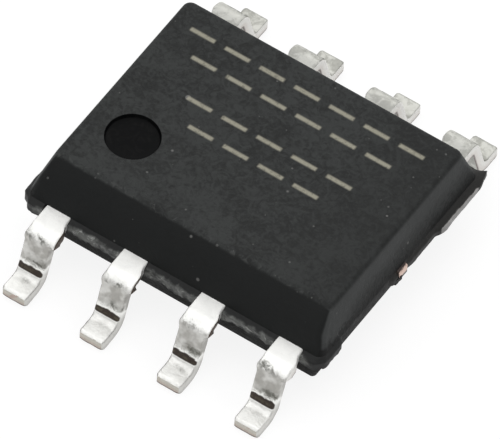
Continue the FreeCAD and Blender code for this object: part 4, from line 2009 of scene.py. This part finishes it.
    def number_faces(self, bm: BMesh) -> None:
        """Gives the sheared sides of the dam stubs and the sheared tip their own materials.

        Args:
            bm: The mesh of the lead.
        """
        bm.normal_update()
        for face in bm.faces:
            middle = face.calc_center_median()
            edge = LeadPath.HALF_WIDTH + math.copysign(self.cut_margin, middle.x)
            cut = abs(face.normal.x) > self.side_slope and abs(middle.x) > edge
            if cut and middle.y < -LeadPath.WALL:
                face.material_index = 1
            elif face.normal.y < -self.tip_slope and middle.y < 0.01 - LeadPath.TIP:
                face.material_index = 2

    def build(self, finishes: Sequence[bpy.types.Material]) -> bpy.types.Object:
        """Builds the lead.

        Args:
            finishes: Materials of the plate, the dam stubs and the tip.

        Returns:
            The finished piece.
        """
        bm = bmesh.new()
        bm.verts.layers.float_vector.new(SHEET_LAYER)
        self.draw(bm)
        self.refine(bm)
        self.number_faces(bm)
        place = Matrix.Translation((self.x, 0, 0))
        if not self.front:
            place = place @ Matrix.Rotation(math.pi, 4, "Z")
        bmesh.ops.transform(bm, matrix=place, verts=bm.verts)
        return make_object(bm, f"{self.node}_plated", finishes)


# The stage

@dataclass(frozen=True)
class PhotoCamera:
    """The camera of the photograph, fitted to the corners of the leads and the body."""

    focal_px: float = 13881.475
    width_px: float = 500.0
    distance: float = 190.0
    shift_x: float = -0.050533
    shift_y: float = -0.416412
    azimuth: float = 30.154223
    elevation: float = 52.817797
    roll: float = 4.498158
    aim_height: float = 0.8
    film_mm: float = 36.0
    clip: tuple[float, float] = (0.01, 10.0)

    def build(self) -> None:
        """Places the camera and makes it the scene's own."""
        az, el, roll = (math.radians(v) for v in (self.azimuth, self.elevation, self.roll))
        back = Vector((math.sin(az) * math.cos(el), -math.cos(az) * math.cos(el), math.sin(el)))
        level = Vector((math.cos(az), math.sin(az), 0))
        above = back.cross(level)
        right = level * math.cos(roll) + above * math.sin(roll)
        up = above * math.cos(roll) - level * math.sin(roll)
        aim = Vector((0, 0, self.aim_height))
        place = back * self.distance + right * self.shift_x + up * self.shift_y + aim
        data = bpy.data.cameras.new("photo_camera")
        data.sensor_width = self.film_mm
        data.lens = self.film_mm * self.focal_px / self.width_px
        data.clip_start, data.clip_end = self.clip
        made = link_object("photo_camera", data)
        axes = Matrix((right, up, back)).transposed().to_4x4()
        made.matrix_world = Matrix.Translation(place * MM) @ axes
        bpy.context.scene.camera = made


@dataclass(frozen=True)
class SoftLamp:
    """A round lamp that faces the part. Its distance and size are in metres.

    Its level is the light that it gives a face turned to it, 1 being plain.
    """

    name: str
    towards: tuple[float, float, float]
    distance: float
    size: float
    level: float

    def build(self) -> None:
        """Places the lamp."""
        data = bpy.data.lights.new(self.name, "AREA")
        data.shape = "DISK"
        data.size = self.size
        reach = math.pi * self.distance ** 2
        data.energy = self.level * math.pi * (reach + math.pi * (self.size / 2) ** 2)
        direction = Vector(self.towards).normalized()
        turn = direction.to_track_quat("Z", "Y").to_matrix().to_4x4()
        made = link_object(self.name, data)
        made.matrix_world = Matrix.Translation(direction * self.distance) @ turn


@dataclass(frozen=True)
class Studio:
    """A plain pale floor, soft lamps and a dim room. Lengths are in metres."""

    floor_reach: float = 0.6
    floor_drop: float = 0.00001
    floor_cloud: Cloud = Cloud(90.0, 2.0)
    floor_tone: Ramp = Ramp(0.2, 0.8, 0.17, 0.1734)
    floor_glow: float = 0.86
    room_level: float = 0.30
    lamps: tuple[SoftLamp, ...] = (
        SoftLamp("lamp_overhead", (-0.30, 0.45, 0.84), 0.16, 0.36, 0.62),
        SoftLamp("lamp_front", (-0.10, -0.70, 0.62), 0.20, 0.20, 0.25),
        SoftLamp("lamp_right", (0.85, 0.25, 0.55), 0.20, 0.16, 0.14),
    )
    white: ClassVar[tuple[float, ...]] = (1.0, 1.0, 1.0, 1.0)

    def build(self) -> None:
        """Sets up the floor, the lamps and the room."""
        self.floor()
        for lamp in self.lamps:
            lamp.build()
        self.room()

    @staticmethod
    def wiring(owner: bpy.types.ID) -> Wiring:
        """Empties the nodes of a material or a world.

        Args:
            owner: The material or world.

        Returns:
            What wires it anew.
        """
        owner.use_nodes = True
        owner.node_tree.nodes.clear()
        return Wiring(owner.node_tree)

    def floor(self) -> None:
        """The floor, which shows white where no shadow falls."""
        bm = bmesh.new()
        bmesh.ops.create_grid(bm, x_segments=1, y_segments=1, size=self.floor_reach)
        bmesh.ops.translate(bm, vec=(0, 0, -self.floor_drop), verts=bm.verts)
        mesh = bpy.data.meshes.new("floor")
        bm.to_mesh(mesh)
        bm.free()
        made = link_object("floor", mesh)
        material = bpy.data.materials.new("floor_pale")
        w = self.wiring(material)
        tone = w.clouds(w.node("ShaderNodeTexCoord").outputs["Object"], self.floor_cloud)
        level = w.span(tone, *self.floor_tone)
        colour = w.node("ShaderNodeCombineColor", {0: level, 1: level, 2: level}).outputs[0]
        matt = w.node("ShaderNodeBsdfDiffuse", {"Color": colour})
        glow = w.node("ShaderNodeEmission", {"Color": self.white, "Strength": self.glow(w)})
        both = w.node("ShaderNodeAddShader", {0: matt.outputs[0], 1: glow.outputs[0]})
        w.node("ShaderNodeOutputMaterial", {"Surface": both.outputs[0]})
        mesh.materials.append(material)
        made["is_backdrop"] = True

    def glow(self, w: Wiring) -> Socket:
        """Makes the floor's own glow, for rays from the camera, a gloss or a glass alone.

        Args:
            w: Where the nodes go.

        Returns:
            Its strength.
        """
        path = w.node("ShaderNodeLightPath").outputs
        seen = w.most(path["Is Camera Ray"], path["Is Glossy Ray"], path["Is Transmission Ray"])
        return w.node("ShaderNodeMapRange", {0: seen, 3: 0.0, 4: self.floor_glow}).outputs[0]

    def room(self) -> None:
        """A dim even room, white where the camera looks straight at it."""
        world = bpy.data.worlds.new("room")
        bpy.context.scene.world = world
        w = self.wiring(world)
        camera = w.node("ShaderNodeLightPath").outputs["Is Camera Ray"]
        strength = w.node("ShaderNodeMapRange", {0: camera, 3: self.room_level, 4: 1.0}).outputs[0]
        back = w.node("ShaderNodeBackground", {"Color": self.white, "Strength": strength})
        w.node("ShaderNodeOutputWorld", {"Surface": back.outputs[0]})


# The whole chip

INNER_FINISHES = (
    (("die_paddle",),
     SheetFinish("copper_sheet", (0.62, 0.36, 0.26), (0.80, 0.50, 0.38), 1.0, (0.32, 0.50))),
    (("die_attach",),
     MetalFinish("silver_filled_resin", (0.42, 0.42, 0.40), (0.62, 0.62, 0.60), 0.3,
                 (0.45, 0.65), 6.0)),
    (("silicon_die",),
     MetalFinish("silicon_polished", (0.13, 0.14, 0.17), (0.19, 0.20, 0.24), 0.4,
                 (0.12, 0.22), 4.0, 0.001)),
    (tuple(f"bond_wire_{k}" for k in range(1, 9)),
     MetalFinish("gold_drawn", (0.78, 0.55, 0.20), (0.92, 0.70, 0.32), 1.0,
                 (0.18, 0.30), 8.0, 0.001)),
)


def dress_inner_parts(effects: Effects) -> None:
    """Gives the CAD nodes that stay their own materials.

    Args:
        effects: The shared effects.
    """
    for names, finish in INNER_FINISHES:
        material = finish.material(effects)
        for name in names:
            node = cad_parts[name]
            node.data.materials.clear()
            node.data.materials.append(material)
        LOG.info("%s: %d nodes", finish.name, len(names))


def build_leads(effects: Effects) -> None:
    """Builds the eight leads, in place of their CAD nodes.

    Args:
        effects: The shared effects.
    """
    finishes = (TIN_MATT, TIN_REAR_SHADED, TIP_SHEARED, SIDE_DARK, SIDE_PALE)
    matt, dull, tip, dark, pale = (finish.material(effects) for finish in finishes)
    for number in range(1, 9):
        lead = Lead(number)
        # The rear row takes the darker copy of the tin, whose darkness is painted shade.
        piece = lead.build((matt if lead.front else dull, dark if number < 4 else pale, tip))
        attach(piece, "root")
        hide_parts(lead.node)


def main() -> None:
    """Builds the chip and the studio round it."""
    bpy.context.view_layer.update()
    effects = Effects()
    body = MouldedBody().build(effects)
    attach(body, "root")
    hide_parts("moulded_body")
    for piece in (*ResinRidge().build(effects), ResinLump().build(effects)):
        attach(piece, "root")
    build_leads(effects)
    dress_inner_parts(effects)
    Studio().build()
    PhotoCamera().build()
    bpy.context.view_layer.update()
    bpy.context.scene.view_settings.view_transform = "Standard"


if __name__ == "__main__":
    logging.basicConfig(level=logging.INFO, format="%(name)s: %(message)s")
    main()
